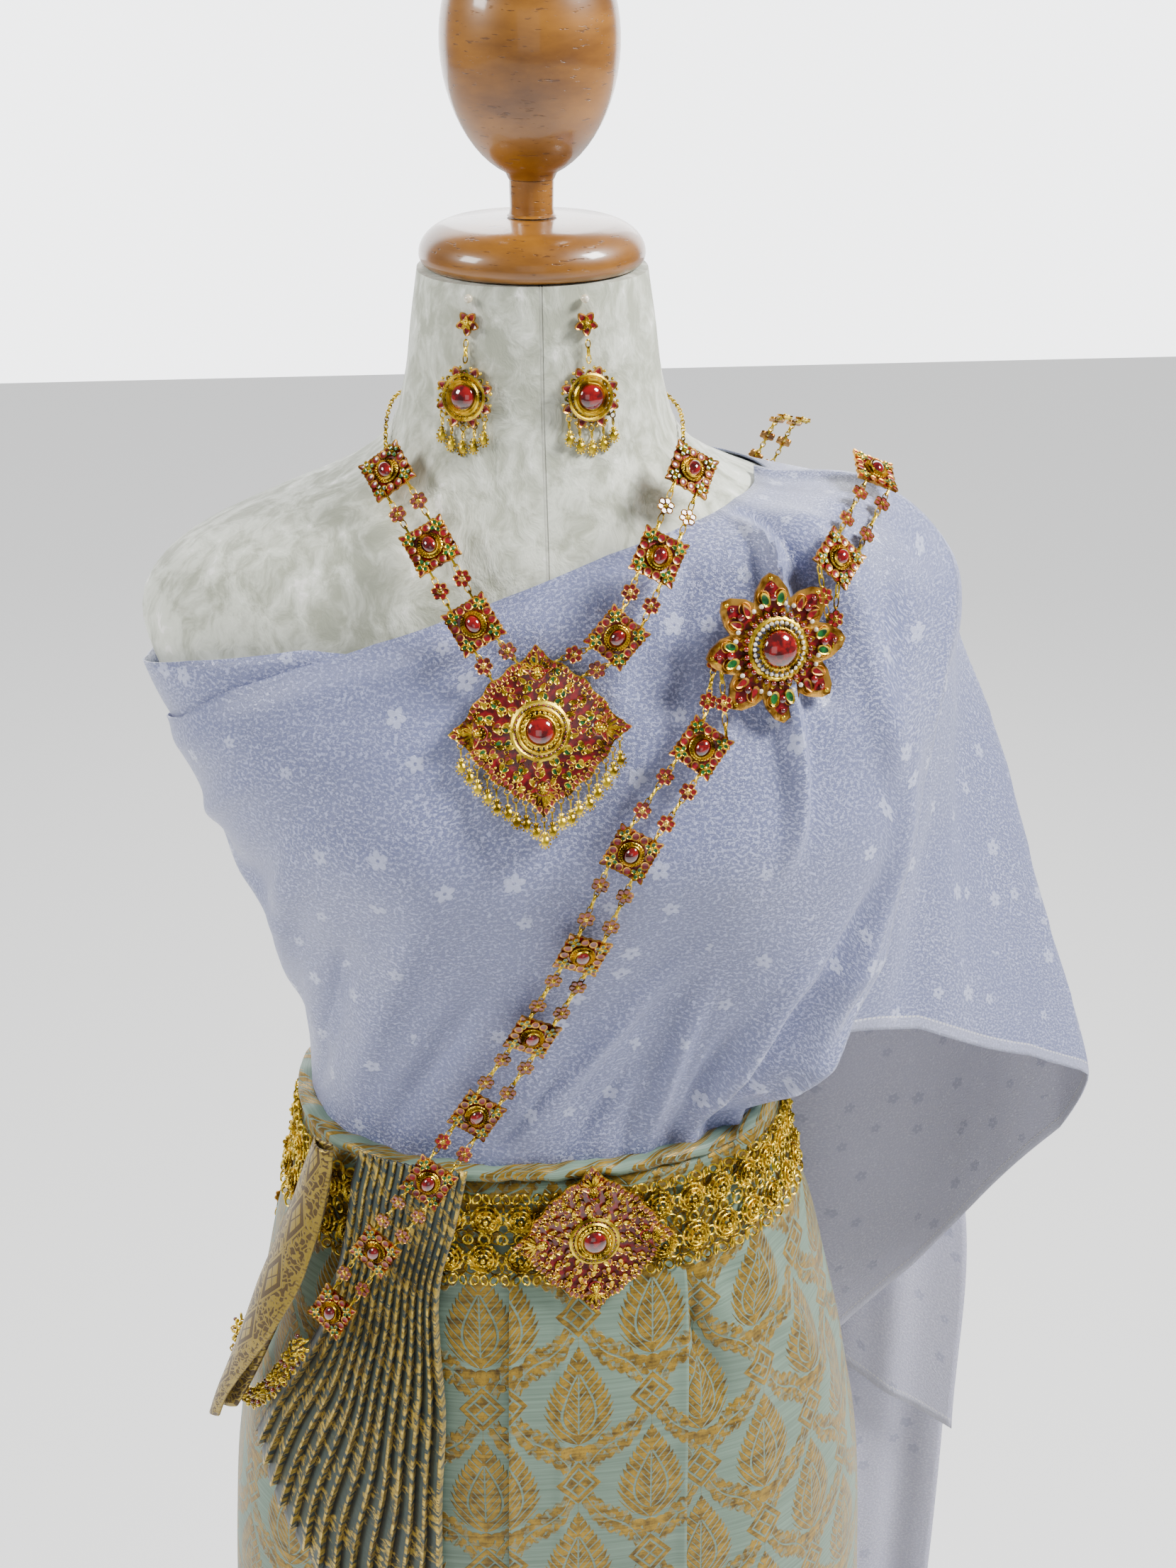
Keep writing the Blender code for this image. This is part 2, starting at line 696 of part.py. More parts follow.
# buckle on the belt, right of centre front
BUCKLE_ANGLE = -80.0
BUCKLE_HALF = 0.0415
buckle_frame = seat(on_skirt(BELT_LIFT + BELT_THICK), BUCKLE_ANGLE, WAIST_Z, BUCKLE_HALF, BUCKLE_HALF, 0.0006)
plate("belt_buckle", ogee_diamond(BUCKLE_HALF, BUCKLE_HALF), 0.0022, 0.42, 0.0035, buckle_frame, ENAMEL)

stone_frame = buckle_frame @ Matrix.Translation((0, 0, 0.0022 + 0.0035 + GAP))
plate("buckle_stone", round_outline(10, lambda angle: 0.0062), 0.0018, 0.98, 0.0020, stone_frame, RUBY)

# ---------------------------------------------------------------- shoulder chain (sangwan)
PLAQUE = 0.0225
PLAQUE_THICK = 0.0014
STRIP_LIFT = 0.0034
STRIP = 0.0120
STRIP_THICK = 0.0012
PLATE_CLEAR = 0.0032         # plaques stand this far off their strip
CHAIN_BEND_CLEAR = 0.0016    # more where the chain turns out over the waist
PLEAT_TOP = PLEAT_LIFT + PLEAT_DEPTH + CLOTH
# plaques on the shawl from the shoulder down: angle, height; the star brooch takes the third place
SANGWAN_ON_SHAWL = ((-8.2, 1.3600), (-26.8, 1.3480), (-39.7, 1.3200), (-59.0, 1.2770), (-73.9, 1.2400),
                    (-84.2, 1.1910), (-96.8, 1.1380), (-113.5, 1.0860))
SANGWAN_ON_PLEATS = ((-122.0, 1.0560), (-133.5, 1.0100), (-140.8, 0.9700))
STAR_STOP = 2
STAR_RADIUS = 0.0335
HIP = ((-147.5, 0.9380, 0.0140), (-154.0, 0.9020, 0.0100), (-161.0, 0.8780, 0.0070), (-170.0, 0.8720, 0.0050),
       (-182.0, 0.8800, 0.0050))          # angle, height, off the skirt
BACK_ROUTE = ((-0.150, 0.060, 0.915), (-0.128, 0.092, 0.970), (-0.098, 0.118, 1.040), (-0.058, 0.148, 1.110),
              (-0.014, 0.1560, 1.160), (0.022, 0.1510, 1.216), (0.060, 0.1410, 1.270), (0.094, 0.1220, 1.316),
              (0.123, 0.0910, 1.352), (0.131, 0.0550, 1.385), (0.130, 0.0140, 1.3975))


def chain_stop(outer, degrees, z):
    point, normal = outer(degrees, z)
    return point + normal * STRIP_LIFT, normal


def pushed_clear(path, outer, lowest, lift):
    """The path's points above lowest, moved out where the cloth bulges through."""
    made = []
    for point, normal in path:
        if point.z > lowest:
            cloth = outer(math.degrees(math.atan2(point.y, point.x)), point.z)[0]
            point = point + normal * max(0.0, (cloth - point).dot(normal) + lift)
        made.append((point, normal))
    return made


def frame_on(path, k, clear):
    """Matrix on the path's k-th point: Y along the chain, Z off the cloth."""
    point, normal = path[k]
    ahead = (path[max(k - 1, 0)][0] - path[min(k + 1, len(path) - 1)][0]).normalized()
    side = ahead.cross(normal).normalized()
    out = side.cross(ahead)
    frame = Matrix((side, ahead, out)).transposed().to_4x4()
    frame.translation = point + out * clear
    return frame


def build_sangwan():
    on_pleats = on_skirt(PLEAT_TOP + 0.002)
    stops = [chain_stop(on_shawl, 0, 1.3690)]
    stops += [chain_stop(on_shawl, degrees, z) for degrees, z in SANGWAN_ON_SHAWL]
    for degrees, z in SANGWAN_ON_PLEATS:
        point, normal = on_pleats(degrees, z)
        stops.append((Vector((point.x, point.y, z)) + normal * STRIP_LIFT, normal))
    path = pushed_clear(along(stops, 4 * (len(stops) - 1)), on_shawl, 1.075, STRIP_LIFT)
    ribbon("sangwan_chain_front", path, STRIP, GOLD, STRIP_THICK)
    number = 0
    for k in range(1, len(stops)):
        bend = CHAIN_BEND_CLEAR if k == len(SANGWAN_ON_SHAWL) else 0.0
        frame = frame_on(path, 4 * k, STRIP_THICK + PLATE_CLEAR + bend)
        if k - 1 == STAR_STOP:
            plate("sangwan_star", star_outline(STAR_RADIUS), 0.0020, 0.45, 0.0050, frame, ENAMEL)
            frame = frame @ Matrix.Translation((0, 0, 0.0070 + GAP))
            plate("star_stone", round_outline(10, lambda angle: 0.0085), 0.0020, 0.98, 0.0026, frame, RUBY)
        else:
            number += 1
            plate("sangwan_plaque_%02d" % number, clipped_square(PLAQUE), PLAQUE_THICK, 0.5, 0.0024, frame,
                  ENAMEL)
    hip = []
    for degrees, z, lift in HIP:
        hip.append(surface(skirt_radius, math.radians(degrees), z, lift + CLOTH))
    back = [(Vector(place), Vector((place[0] * 0.3, place[1], 0)).normalized()) for place in BACK_ROUTE[:-2]]
    back += [(Vector(place), Vector((0.2, place[1] * 4, 1)).normalized()) for place in BACK_ROUTE[-2:]]
    ribbon("sangwan_chain_hip", along(hip, 10), STRIP, GOLD, STRIP_THICK)
    ribbon("sangwan_chain_back", along(back, 24), STRIP, GOLD, STRIP_THICK)


build_sangwan()

# ---------------------------------------------------------------- necklace
NECK_PLAQUE = 0.0210
# plaques: angle, height, lift off the form, from the neck to the pendant
NECK_LEFT = ((-145.4, 1.3900, 0.0030), (-124.9, 1.3660, 0.0040), (-112.0, 1.3360, 0.0135))
NECK_RIGHT = ((-42.7, 1.3860, 0.0110), (-59.3, 1.3600, 0.0165), (-71.9, 1.3300, 0.0150))
PENDANT_PLACE = (-94.5, 1.2880)
PENDANT_WIDE = 0.0410
PENDANT_TALL = 0.0345
# the fine chain round the neck: angle, height
ROPE = ((-157, 1.3960), (-170, 1.4040), (175, 1.4095), (155, 1.4120), (130, 1.4135), (105, 1.4140),
        (80, 1.4140), (55, 1.4130), (30, 1.4110), (8, 1.4090), (-12, 1.4060), (-31, 1.3950))
ROPE_RADIUS = 0.0011


def build_necklace():
    pendant = seat(on_shawl, *PENDANT_PLACE, PENDANT_WIDE, PENDANT_TALL, 0.0036)
    plate("necklace_pendant", ogee_diamond(PENDANT_WIDE, PENDANT_TALL), 0.0022, 0.42, 0.0030, pendant, ENAMEL)
    stone = pendant @ Matrix.Translation((0, 0, 0.0052 + GAP))
    plate("pendant_stone", round_outline(10, lambda angle: 0.0066), 0.0018, 0.98, 0.0024, stone, RUBY)
    for side, places, edge in (("left", NECK_LEFT, -0.35), ("right", NECK_RIGHT, 0.35)):
        stops = [chain_stop(on_form(lift), degrees, z) for degrees, z, lift in places]
        end = pendant @ Vector((PENDANT_WIDE * edge, PENDANT_TALL * 0.80, 0.0008))
        stops.append((end, pendant.to_3x3() @ Vector((0, 0, 1))))
        path = along(stops, 4 * (len(stops) - 1))
        ribbon("necklace_chain_" + side, path, 0.0100, GOLD, STRIP_THICK)
        for k in range(3):
            frame = frame_on(path, 4 * k, STRIP_THICK + PLATE_CLEAR)
            plate("necklace_plaque_%s_%d" % (side, k + 1), clipped_square(NECK_PLAQUE), PLAQUE_THICK, 0.5,
                  0.0022, frame, ENAMEL)
    outline = [(-0.0420, -0.0060), (-0.0400, -0.0190), (-0.0220, -0.0365), (0.0, -0.0510), (0.0220, -0.0365),
               (0.0400, -0.0190), (0.0420, -0.0060), (0.0250, -0.0225), (0.0, -PENDANT_TALL - 0.0045),
               (-0.0250, -0.0225)]
    behind = pendant @ Matrix.Translation((0, 0, -0.0022))
    plate("pendant_drops", outline, 0.0016, 0.98, 0.0002, behind, GOLD)


build_necklace()


def build_rope():
    line = bpy.data.curves.new("necklace_rope", "CURVE")
    line.dimensions = "3D"
    line.bevel_depth = ROPE_RADIUS
    line.bevel_resolution = 1
    line.use_fill_caps = True
    stops = [surface(torso_radius, math.radians(degrees), z, 0.0034) for degrees, z in ROPE]
    unwound = along(stops, 32)
    spline = line.splines.new("POLY")
    spline.points.add(len(unwound) - 1)
    for spot, (point, _) in zip(spline.points, unwound):
        spot.co = (*point, 1.0)
    line.materials.append(GOLD)
    parts.objects.link(bpy.data.objects.new("necklace_rope", line))


build_rope()

# ---------------------------------------------------------------- earrings, pinned to the neck
# side, angle, heights of the pin, the stud and the disc
EARRINGS = (("left", -124.5, 1.4725, 1.4630, 1.4300), ("right", -69.0, 1.4725, 1.4630, 1.4300))
DISC_RADIUS = 0.0142


def disc_reach(angle):
    return DISC_RADIUS if round(angle / 22.5) % 2 else DISC_RADIUS * 0.93


def build_earrings():
    skin = on_form(0.0)
    for side, degrees, pin_z, stud_z, disc_z in EARRINGS:
        pin = seat(skin, degrees, pin_z, 0.002, 0.002, 0.0006)
        plate("earring_pin_" + side, round_outline(8, lambda angle: 0.0020), 0.0022, 0.9, 0.0014, pin, GOLD)
        stud = seat(skin, degrees, stud_z - 0.001, 0.006, 0.006, 0.0006)
        plate("earring_stud_" + side, round_outline(10, lambda angle: 0.0056), 0.0022, 0.6, 0.0012, stud, ENAMEL)
        disc = seat(skin, degrees, disc_z, DISC_RADIUS, DISC_RADIUS, 0.0008)
        plate("earring_disc_" + side, round_outline(16, disc_reach), 0.0018, 0.5, 0.0030, disc, ENAMEL)
        fringe = [(-0.0115, 0.0060), (-0.0130, -0.0040), (-0.0065, -0.0110), (0.0, -0.0130), (0.0065, -0.0110),
                  (0.0130, -0.0040), (0.0115, 0.0060)]
        hung = seat(skin, degrees, disc_z - DISC_RADIUS - 0.0078, 0.013, 0.013, 0.0012)
        plate("earring_drops_" + side, fringe, 0.0014, 0.98, 0.0002, hung, GOLD)


build_earrings()
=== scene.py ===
"""Chut thai dress on a limbless dress form: the finished look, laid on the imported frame."""
import json
import math

import bpy
import bmesh
from mathutils import Matrix, Vector

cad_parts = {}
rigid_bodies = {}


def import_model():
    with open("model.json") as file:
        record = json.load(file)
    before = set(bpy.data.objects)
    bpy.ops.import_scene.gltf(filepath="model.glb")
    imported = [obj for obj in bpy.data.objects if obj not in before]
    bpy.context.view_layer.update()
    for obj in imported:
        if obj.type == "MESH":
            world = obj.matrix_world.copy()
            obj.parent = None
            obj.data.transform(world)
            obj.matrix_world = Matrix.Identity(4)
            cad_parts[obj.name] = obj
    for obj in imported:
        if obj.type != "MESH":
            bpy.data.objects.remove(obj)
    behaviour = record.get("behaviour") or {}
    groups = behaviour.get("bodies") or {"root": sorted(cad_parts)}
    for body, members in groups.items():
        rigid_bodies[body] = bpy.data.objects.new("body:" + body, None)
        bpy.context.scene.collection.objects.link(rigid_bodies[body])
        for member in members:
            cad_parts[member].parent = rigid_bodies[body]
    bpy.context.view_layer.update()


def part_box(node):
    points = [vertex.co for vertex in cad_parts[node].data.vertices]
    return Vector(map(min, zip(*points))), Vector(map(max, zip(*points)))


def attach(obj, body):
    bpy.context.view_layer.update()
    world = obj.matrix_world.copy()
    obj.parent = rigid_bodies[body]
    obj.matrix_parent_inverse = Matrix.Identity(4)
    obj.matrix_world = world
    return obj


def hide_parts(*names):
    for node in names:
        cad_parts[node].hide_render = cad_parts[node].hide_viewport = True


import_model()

# ---------------------------------------------------------------- Camera, floor and light
# The dress is looked down on from just left of its front, over a plain pale floor. Two soft lamps hang high
# at its sides, with weak ones before and behind, under a sky that is bright only beyond the dress.
camera = bpy.data.objects.new("camera", bpy.data.cameras.new("camera"))
camera.data.sensor_fit = "VERTICAL"
camera.data.angle = math.radians(42.0013)
camera.location = (-0.0663, -0.9477, 1.655)
camera.rotation_euler = (math.radians(90 - 24.8), 0, math.radians(-5.54))
bpy.context.scene.collection.objects.link(camera)
bpy.context.scene.camera = camera

net = bmesh.new()
bmesh.ops.create_grid(net, x_segments=1, y_segments=1, size=6)
floor = bpy.data.objects.new("floor", bpy.data.meshes.new("floor"))
net.to_mesh(floor.data)
net.free()
bpy.context.scene.collection.objects.link(floor)
pale = bpy.data.materials.new("pale_floor")
pale.use_nodes = True
for socket, value in (("Base Color", (0.90, 0.90, 0.89, 1)), ("Roughness", 0.9), ("Emission Color", (1, 1, 1, 1)),
                      ("Emission Strength", 0.50)):
    pale.node_tree.nodes["Principled BSDF"].inputs[socket].default_value = value
floor.data.materials.append(pale)


def soft_light(name, place, height, size, power, colour=(1.0, 1.0, 1.0)):
    """A square lamp turned to the dress's middle line at that height."""
    lamp = bpy.data.objects.new(name, bpy.data.lights.new(name, "AREA"))
    lamp.data.size = size
    lamp.data.energy = power
    lamp.data.color = colour
    lamp.location = place
    lamp.rotation_euler = (Vector((0, 0, height)) - Vector(place)).to_track_quat("-Z", "Y").to_euler()
    bpy.context.scene.collection.objects.link(lamp)


LAMP_WHITE = (1.0, 0.99, 0.97)
soft_light("left_light", (-1.9, -0.55, 2.5), 1.2, 0.7, 50, LAMP_WHITE)
soft_light("right_light", (1.5, -0.45, 2.7), 1.15, 0.6, 108, LAMP_WHITE)
soft_light("back_light", (0.4, 2.6, 2.4), 1.1, 1.6, 24)
soft_light("front_light", (-0.3, -3.2, 1.9), 1.0, 1.6, 6)
daylight = bpy.data.worlds.new("daylight")
daylight.use_nodes = True
sky = daylight.node_tree
sky.nodes["Background"].inputs["Color"].default_value = (0.95, 0.96, 0.98, 1)
way, split, rise = [sky.nodes.new("ShaderNode" + kind) for kind in ("TexCoord", "SeparateXYZ", "MapRange")]
sky.links.new(way.outputs["Generated"], split.inputs["Vector"])
sky.links.new(split.outputs["Y"], rise.inputs["Value"])
for name, value in (("From Min", 0.66), ("From Max", 0.80), ("To Min", 0.17), ("To Max", 4.4)):
    rise.inputs[name].default_value = value
sky.links.new(rise.outputs["Result"], sky.nodes["Background"].inputs["Strength"])
bpy.context.scene.world = daylight


# ---------------------------------------------------------------- Neck cap, stem and egg finial
# Turned in a light tropical hardwood with short dark pores, sanded round and varnished; the cap closes the
# form's neck, and the egg stands in it on a short peg.
class Shade:
    """A number or colour on its way through a material; arithmetic on it adds Math nodes."""

    def __init__(self, tree, socket=None):
        self.tree = tree
        self.socket = socket

    def feed(self, socket, value):
        if isinstance(value, Shade):
            self.tree.links.new(value.socket, socket)
        else:
            socket.default_value = value

    def node(self, kind, settings, values, out=0):
        made = self.tree.nodes.new("ShaderNode" + kind)
        for key, value in settings.items():
            if key == "stops":
                for k, (place, colour) in enumerate(value):
                    stop = made.color_ramp.elements[k] if k < 2 else made.color_ramp.elements.new(place)
                    stop.position = place
                    stop.color = (*colour, 1)
            else:
                setattr(made, key, value)
        for key, value in values.items():
            self.feed(made.inputs[key], value)
        return Shade(self.tree, made.outputs[out])

    def maths(self, operation, *values):
        return self.node("Math", {"operation": operation}, dict(enumerate(values)))

    def __add__(self, other):
        return self.maths("ADD", self, other)

    def __sub__(self, other):
        return self.maths("SUBTRACT", self, other)

    def __mul__(self, other):
        return self.maths("MULTIPLY", self, other)

    def __truediv__(self, other):
        return self.maths("DIVIDE", self, other)

    def __rsub__(self, other):
        return self.maths("SUBTRACT", other, self)

    __radd__ = __add__
    __rmul__ = __mul__

    def size(self):
        return self.maths("ABSOLUTE", self)

    def sine(self):
        return self.maths("SINE", self)

    def part(self):
        return self.maths("FRACT", self)

    def wrapped(self, reach):
        return self.maths("WRAP", self, reach, -reach)

    def least(self, other):
        return self.maths("MINIMUM", self, other)

    def most(self, other):
        return self.maths("MAXIMUM", self, other)

    def over(self, low, high):
        """0 below low, 1 above high, smooth between; low above high turns it round."""
        return self.node("MapRange", {"interpolation_type": "SMOOTHSTEP"},
                         {"Value": self, "From Min": low, "From Max": high})

    def line(self, centre, width, soft):
        """1 within width of centre."""
        return (self - centre).size().over(width + soft, width)

    def mixed(self, first, second):
        """first where this is 0, second where it is 1."""
        return self.node("Mix", {"data_type": "RGBA"}, {0: self, 6: first, 7: second}, 2)

    def choose(self, first, second):
        return first + self * (second - first)

    def axes(self, vector):
        return [self.node("SeparateXYZ", {}, {0: vector}, k) for k in range(3)]

    def grain(self, vector, scale, detail=3.0, rough=0.55):
        return self.node("TexNoise", {}, {"Vector": vector, "Scale": scale, "Detail": detail, "Roughness": rough})

    def stretched(self, vector, x, y, z):
        return self.node("Mapping", {}, {"Vector": vector, "Scale": (x, y, z)})

    def here(self):
        """The place on the object."""
        return self.node("TexCoord", {}, {}, "Object")

    def laid(self, name):
        """The place on the cloth, from its own UV map."""
        return self.node("UVMap", {"uv_map": name}, {})

    def coat(self, skin, colour, rough, height=None, depth=0.0, metal=None):
        """Feed the surface's sockets; height is the relief, depth how far it stands in metres."""
        self.feed(skin["Base Color"], colour)
        self.feed(skin["Roughness"], rough)
        if metal is not None:
            self.feed(skin["Metallic"], metal)
        if height is not None:
            self.feed(skin["Normal"], self.node("Bump", {}, {"Height": height, "Distance": depth, "Strength": 1.0}))


def rgb(red, green, blue):
    """A colour from its 0 to 255 values as seen."""
    return tuple(((c / 255 + 0.055) / 1.055) ** 2.4 for c in (red, green, blue)) + (1.0,)


def new_finish(name, **settings):
    """A material, its first Shade, and its shader with the settings on its own sockets."""
    made = bpy.data.materials.new(name)
    made.use_nodes = True
    shader = made.node_tree.nodes["Principled BSDF"]
    for key, value in settings.items():
        shader.inputs[key.replace("_", " ")].default_value = value
    return made, Shade(made.node_tree), shader.inputs


def wood_finish():
    made, shade, skin = new_finish("varnished_hardwood", Coat_Weight=0.7, Coat_Roughness=0.12)
    place = shade.here()
    figure = shade.grain(shade.stretched(place, 22, 9, 60), 1.0, 5.0, 0.6)
    rings = shade.grain(shade.stretched(place, 7, 5, 26), 1.0, 2.0)
    pores = shade.grain(shade.stretched(place, 130, 110, 700), 1.0, 2.0, 0.7).over(0.62, 0.70)
    warm = (figure * 0.6 + rings * 0.5).over(0.30, 0.78)
    colour = warm.mixed(rgb(82, 44, 4), rgb(160, 104, 26))
    colour = (pores * 0.6).mixed(colour, rgb(66, 34, 12))
    shade.coat(skin, colour, 0.34 + figure * 0.14, 1 - pores, 0.0002)
    return made


def turned(name, outline, look, slot, steps=64):
    """A turned piece from (radius, height) points, top to bottom, standing for the CAD node of its name."""
    net = bmesh.new()
    line = [net.verts.new((radius, 0, height)) for radius, height in outline]
    edges = [net.edges.new(pair) for pair in zip(line, line[1:])]
    bmesh.ops.spin(net, geom=line + edges, cent=(0, 0, 0), axis=(0, 0, 1), angle=math.tau, steps=steps,
                   use_merge=True)
    bmesh.ops.remove_doubles(net, verts=net.verts, dist=1e-6)
    bmesh.ops.recalc_face_normals(net, faces=net.faces)
    return piece_of(name + "_turned", net, [look], slot, name)


def piece_of(name, net, looks, slot, *nodes, sharp=40):
    """The finished object: in the frame, on the one body, in place of its CAD nodes."""
    mesh = bpy.data.meshes.new(name)
    net.to_mesh(mesh)
    net.free()
    mesh.shade_smooth()
    mesh.set_sharp_from_angle(angle=math.radians(sharp))
    for look in looks:
        mesh.materials.append(look)
    piece = bpy.data.objects.new(name, mesh)
    bpy.context.scene.collection.objects.link(piece)
    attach(piece, "root")
    if nodes:
        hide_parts(*nodes)
    return piece


def arc(radius, rise, centre, middle, start, end, count):
    """Outline points round an ellipse's side, start and end in degrees from its top."""
    made = []
    for k in range(count + 1):
        angle = math.radians(start + (end - start) * k / count)
        made.append((centre + radius * math.sin(angle), middle + rise * math.cos(angle)))
    return made


WOOD = wood_finish()
cap_low, cap_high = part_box("neck_cap")[0][2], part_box("neck_cap")[1][2]
turned("neck_cap", [(0, cap_high), (0.022, cap_high - 0.0008)]
       + arc(0.021, 0.015, 0.031, cap_low + 0.006, 20, 90, 10)
       + arc(0.006, 0.006, 0.046, cap_low + 0.006, 104, 180, 6) + [(0, cap_low)], WOOD, "wood", 96)
stem_low, stem_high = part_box("finial_stem")[0][2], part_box("finial_stem")[1][2]
turned("finial_stem", [(0, stem_high), (0.0102, stem_high), (0.0099, stem_high - 0.012),
                       (0.0102, stem_low + 0.001), (0.0114, stem_low), (0, stem_low)], WOOD, "wood", 40)
egg_low, egg_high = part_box("finial_egg")[0][2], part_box("finial_egg")[1][2]
egg = [(0, egg_high)]
for k in range(1, 28):
    turn = math.radians(6.0 * k)
    egg.append((0.040 * math.sin(turn) * (1 + 0.05 * math.cos(turn)),
                egg_low + (egg_high - egg_low) * (0.5 + 0.5 * math.cos(turn))))
turned("finial_egg", egg + [(0.0105, egg_low), (0, egg_low)], WOOD, "wood", 72)


# ---------------------------------------------------------------- Stand
# A steel post in a heavy round base, both stove-enamelled dark grey; the form slips over the post.
def stand_finish():
    made, shade, skin = new_finish("stove_enamel", Metallic=0.6, Coat_Weight=0.2)
    place = shade.here()
    mottle = shade.grain(place, 900, 2.0)
    wear = shade.grain(place, 14, 4.0)
    shade.coat(skin, wear.mixed(rgb(62, 62, 66), rgb(92, 92, 95)), 0.34 + wear * 0.25, mottle, 0.0001)
    return made


STEEL = stand_finish()
base_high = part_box("stand_base")[1][2]
turned("stand_base", [(0, base_high), (0.022, base_high), (0.030, base_high - 0.0006),
                      (0.138, base_high - 0.0055)]
       + arc(0.012, 0.009, 0.138, base_high - 0.0145, 0, 90, 8) + [(0.150, 0.0015), (0.1485, 0), (0, 0)],
       STEEL, "stand", 96)
pole_low, pole_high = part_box("stand_pole")[0][2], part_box("stand_pole")[1][2]
turned("stand_pole", [(0, pole_high), (0.0152, pole_high), (0.016, pole_high - 0.0008),
                      (0.016, pole_low + 0.0008), (0.0152, pole_low), (0, pole_low)], STEEL, "stand", 48)

# ---------------------------------------------------------------- Dress form
# A padded, limbless bust covered in crushed ivory velvet, with a seam down its centre front. The pile lies
# in patches, so it is mottled light and grey-green.
TORSO = (                    # height, half width, depth in front, depth behind
    (0.740, 0.1680, 0.101, 0.106), (0.800, 0.1710, 0.103, 0.108), (0.880, 0.1570, 0.100, 0.104),
    (0.950, 0.1380, 0.095, 0.094), (1.010, 0.1210, 0.089, 0.084), (1.050, 0.1165, 0.086, 0.079),
    (1.090, 0.1180, 0.088, 0.080), (1.140, 0.1270, 0.096, 0.085), (1.190, 0.1420, 0.108, 0.091),
    (1.230, 0.1560, 0.113, 0.094), (1.265, 0.1710, 0.105, 0.095), (1.295, 0.1840, 0.094, 0.094),
    (1.318, 0.1900, 0.087, 0.092), (1.335, 0.1860, 0.083, 0.089), (1.352, 0.1680, 0.079, 0.085),
    (1.366, 0.1380, 0.075, 0.081), (1.377, 0.1080, 0.071, 0.077), (1.388, 0.0840, 0.067, 0.073),
    (1.402, 0.0690, 0.062, 0.069), (1.427, 0.0605, 0.056, 0.062), (1.455, 0.0565, 0.053, 0.056),
    (1.478, 0.0530, 0.050, 0.050))


def blend_rows(rows, z):
    """A row of the table at height z, on a smooth curve through its rows."""
    z = min(max(z, rows[0][0]), rows[-1][0])
    k = 0
    while k < len(rows) - 2 and z > rows[k + 1][0]:
        k += 1
    step = rows[k + 1][0] - rows[k][0]
    t = (z - rows[k][0]) / step

    def slope(i, column):
        low, high = max(i - 1, 0), min(i + 1, len(rows) - 1)
        return (rows[high][column] - rows[low][column]) / (rows[high][0] - rows[low][0])

    values = []
    for column in range(1, len(rows[0])):
        start, end = rows[k][column], rows[k + 1][column]
        values.append((2 * t ** 3 - 3 * t * t + 1) * start + (t ** 3 - 2 * t * t + t) * slope(k, column) * step
                      + (3 * t * t - 2 * t ** 3) * end + (t ** 3 - t * t) * slope(k + 1, column) * step)
    return values


def oval(rows, theta, z):
    half, front, back = blend_rows(rows, z)
    depth = front if math.sin(theta) < 0 else back
    return (abs(math.cos(theta) / half) ** 2.25 + abs(math.sin(theta) / depth) ** 2.25) ** (-1 / 2.25)


def torso_radius(theta, z):
    radius = oval(TORSO, theta, z)
    for side in (-1, 1):
        away = math.degrees(math.remainder(theta - math.radians(-90 + side * 31), math.tau))
        radius += 0.012 * math.exp(-((z - 1.238) / 0.048) ** 2 - (away / 21) ** 2)
    return radius


def surface(radius, degrees, z, lift=0.0):
    """A point at an angle and height on the form of that radius, moved out by lift, and its normal."""
    theta = math.radians(degrees)

    def at(angle, height):
        r = radius(angle, height)
        return Vector((r * math.cos(angle), r * math.sin(angle), height))

    here = at(theta, z)
    across = at(theta + 0.002, z) - here
    upward = at(theta, z + 0.0005) - at(theta, z - 0.0005)
    normal = across.cross(upward).normalized()
    return here + normal * lift, normal


def ease(t):
    t = min(max(t, 0.0), 1.0)
    return t * t * (3 - 2 * t)


def table(rows, key):
    """Value at key on straight lines between the (key, value) rows."""
    if key <= rows[0][0]:
        return rows[0][1]
    for (low, start), (high, end) in zip(rows, rows[1:]):
        if key <= high:
            return start + (end - start) * (key - low) / (high - low)
    return rows[-1][1]


def velvet_finish():
    made, shade, skin = new_finish("crushed_velvet", Sheen_Weight=0.35, Sheen_Roughness=0.4)
    place = shade.here()
    x, y, z = shade.axes(place)
    bend = shade.node("TexNoise", {}, {"Vector": place, "Scale": 30.0, "Detail": 2.0}, "Color")
    swirl = shade.node("VectorMath", {"operation": "SCALE"}, {0: bend, "Scale": 0.035})
    swirled = shade.node("VectorMath", {"operation": "ADD"}, {0: place, 1: swirl})
    pile = shade.grain(shade.stretched(swirled, 1, 1, 0.6), 75, 5.0, 0.62)
    flecks = shade.grain(shade.stretched(swirled, 1, 1, 0.5), 190, 3.0, 0.7)
    patches = (pile * 0.75 + flecks * 0.25)
    broad = shade.grain(place, 9, 2.0)
    seam = x.line(0.0, 0.0004, 0.0005) * y.over(0.0, -0.02)
    lay = (patches + broad * 0.25 - 0.12).over(0.38, 0.62)
    colour = lay.mixed(rgb(170, 174, 156), rgb(222, 226, 212))
    colour = patches.over(0.585, 0.66).mixed(colour, rgb(250, 249, 243))
    colour = (seam * 0.35).mixed(colour, rgb(150, 150, 140))
    shade.coat(skin, colour, 0.95 - lay * 0.35, patches - seam * 0.8, 0.0016)
    return made


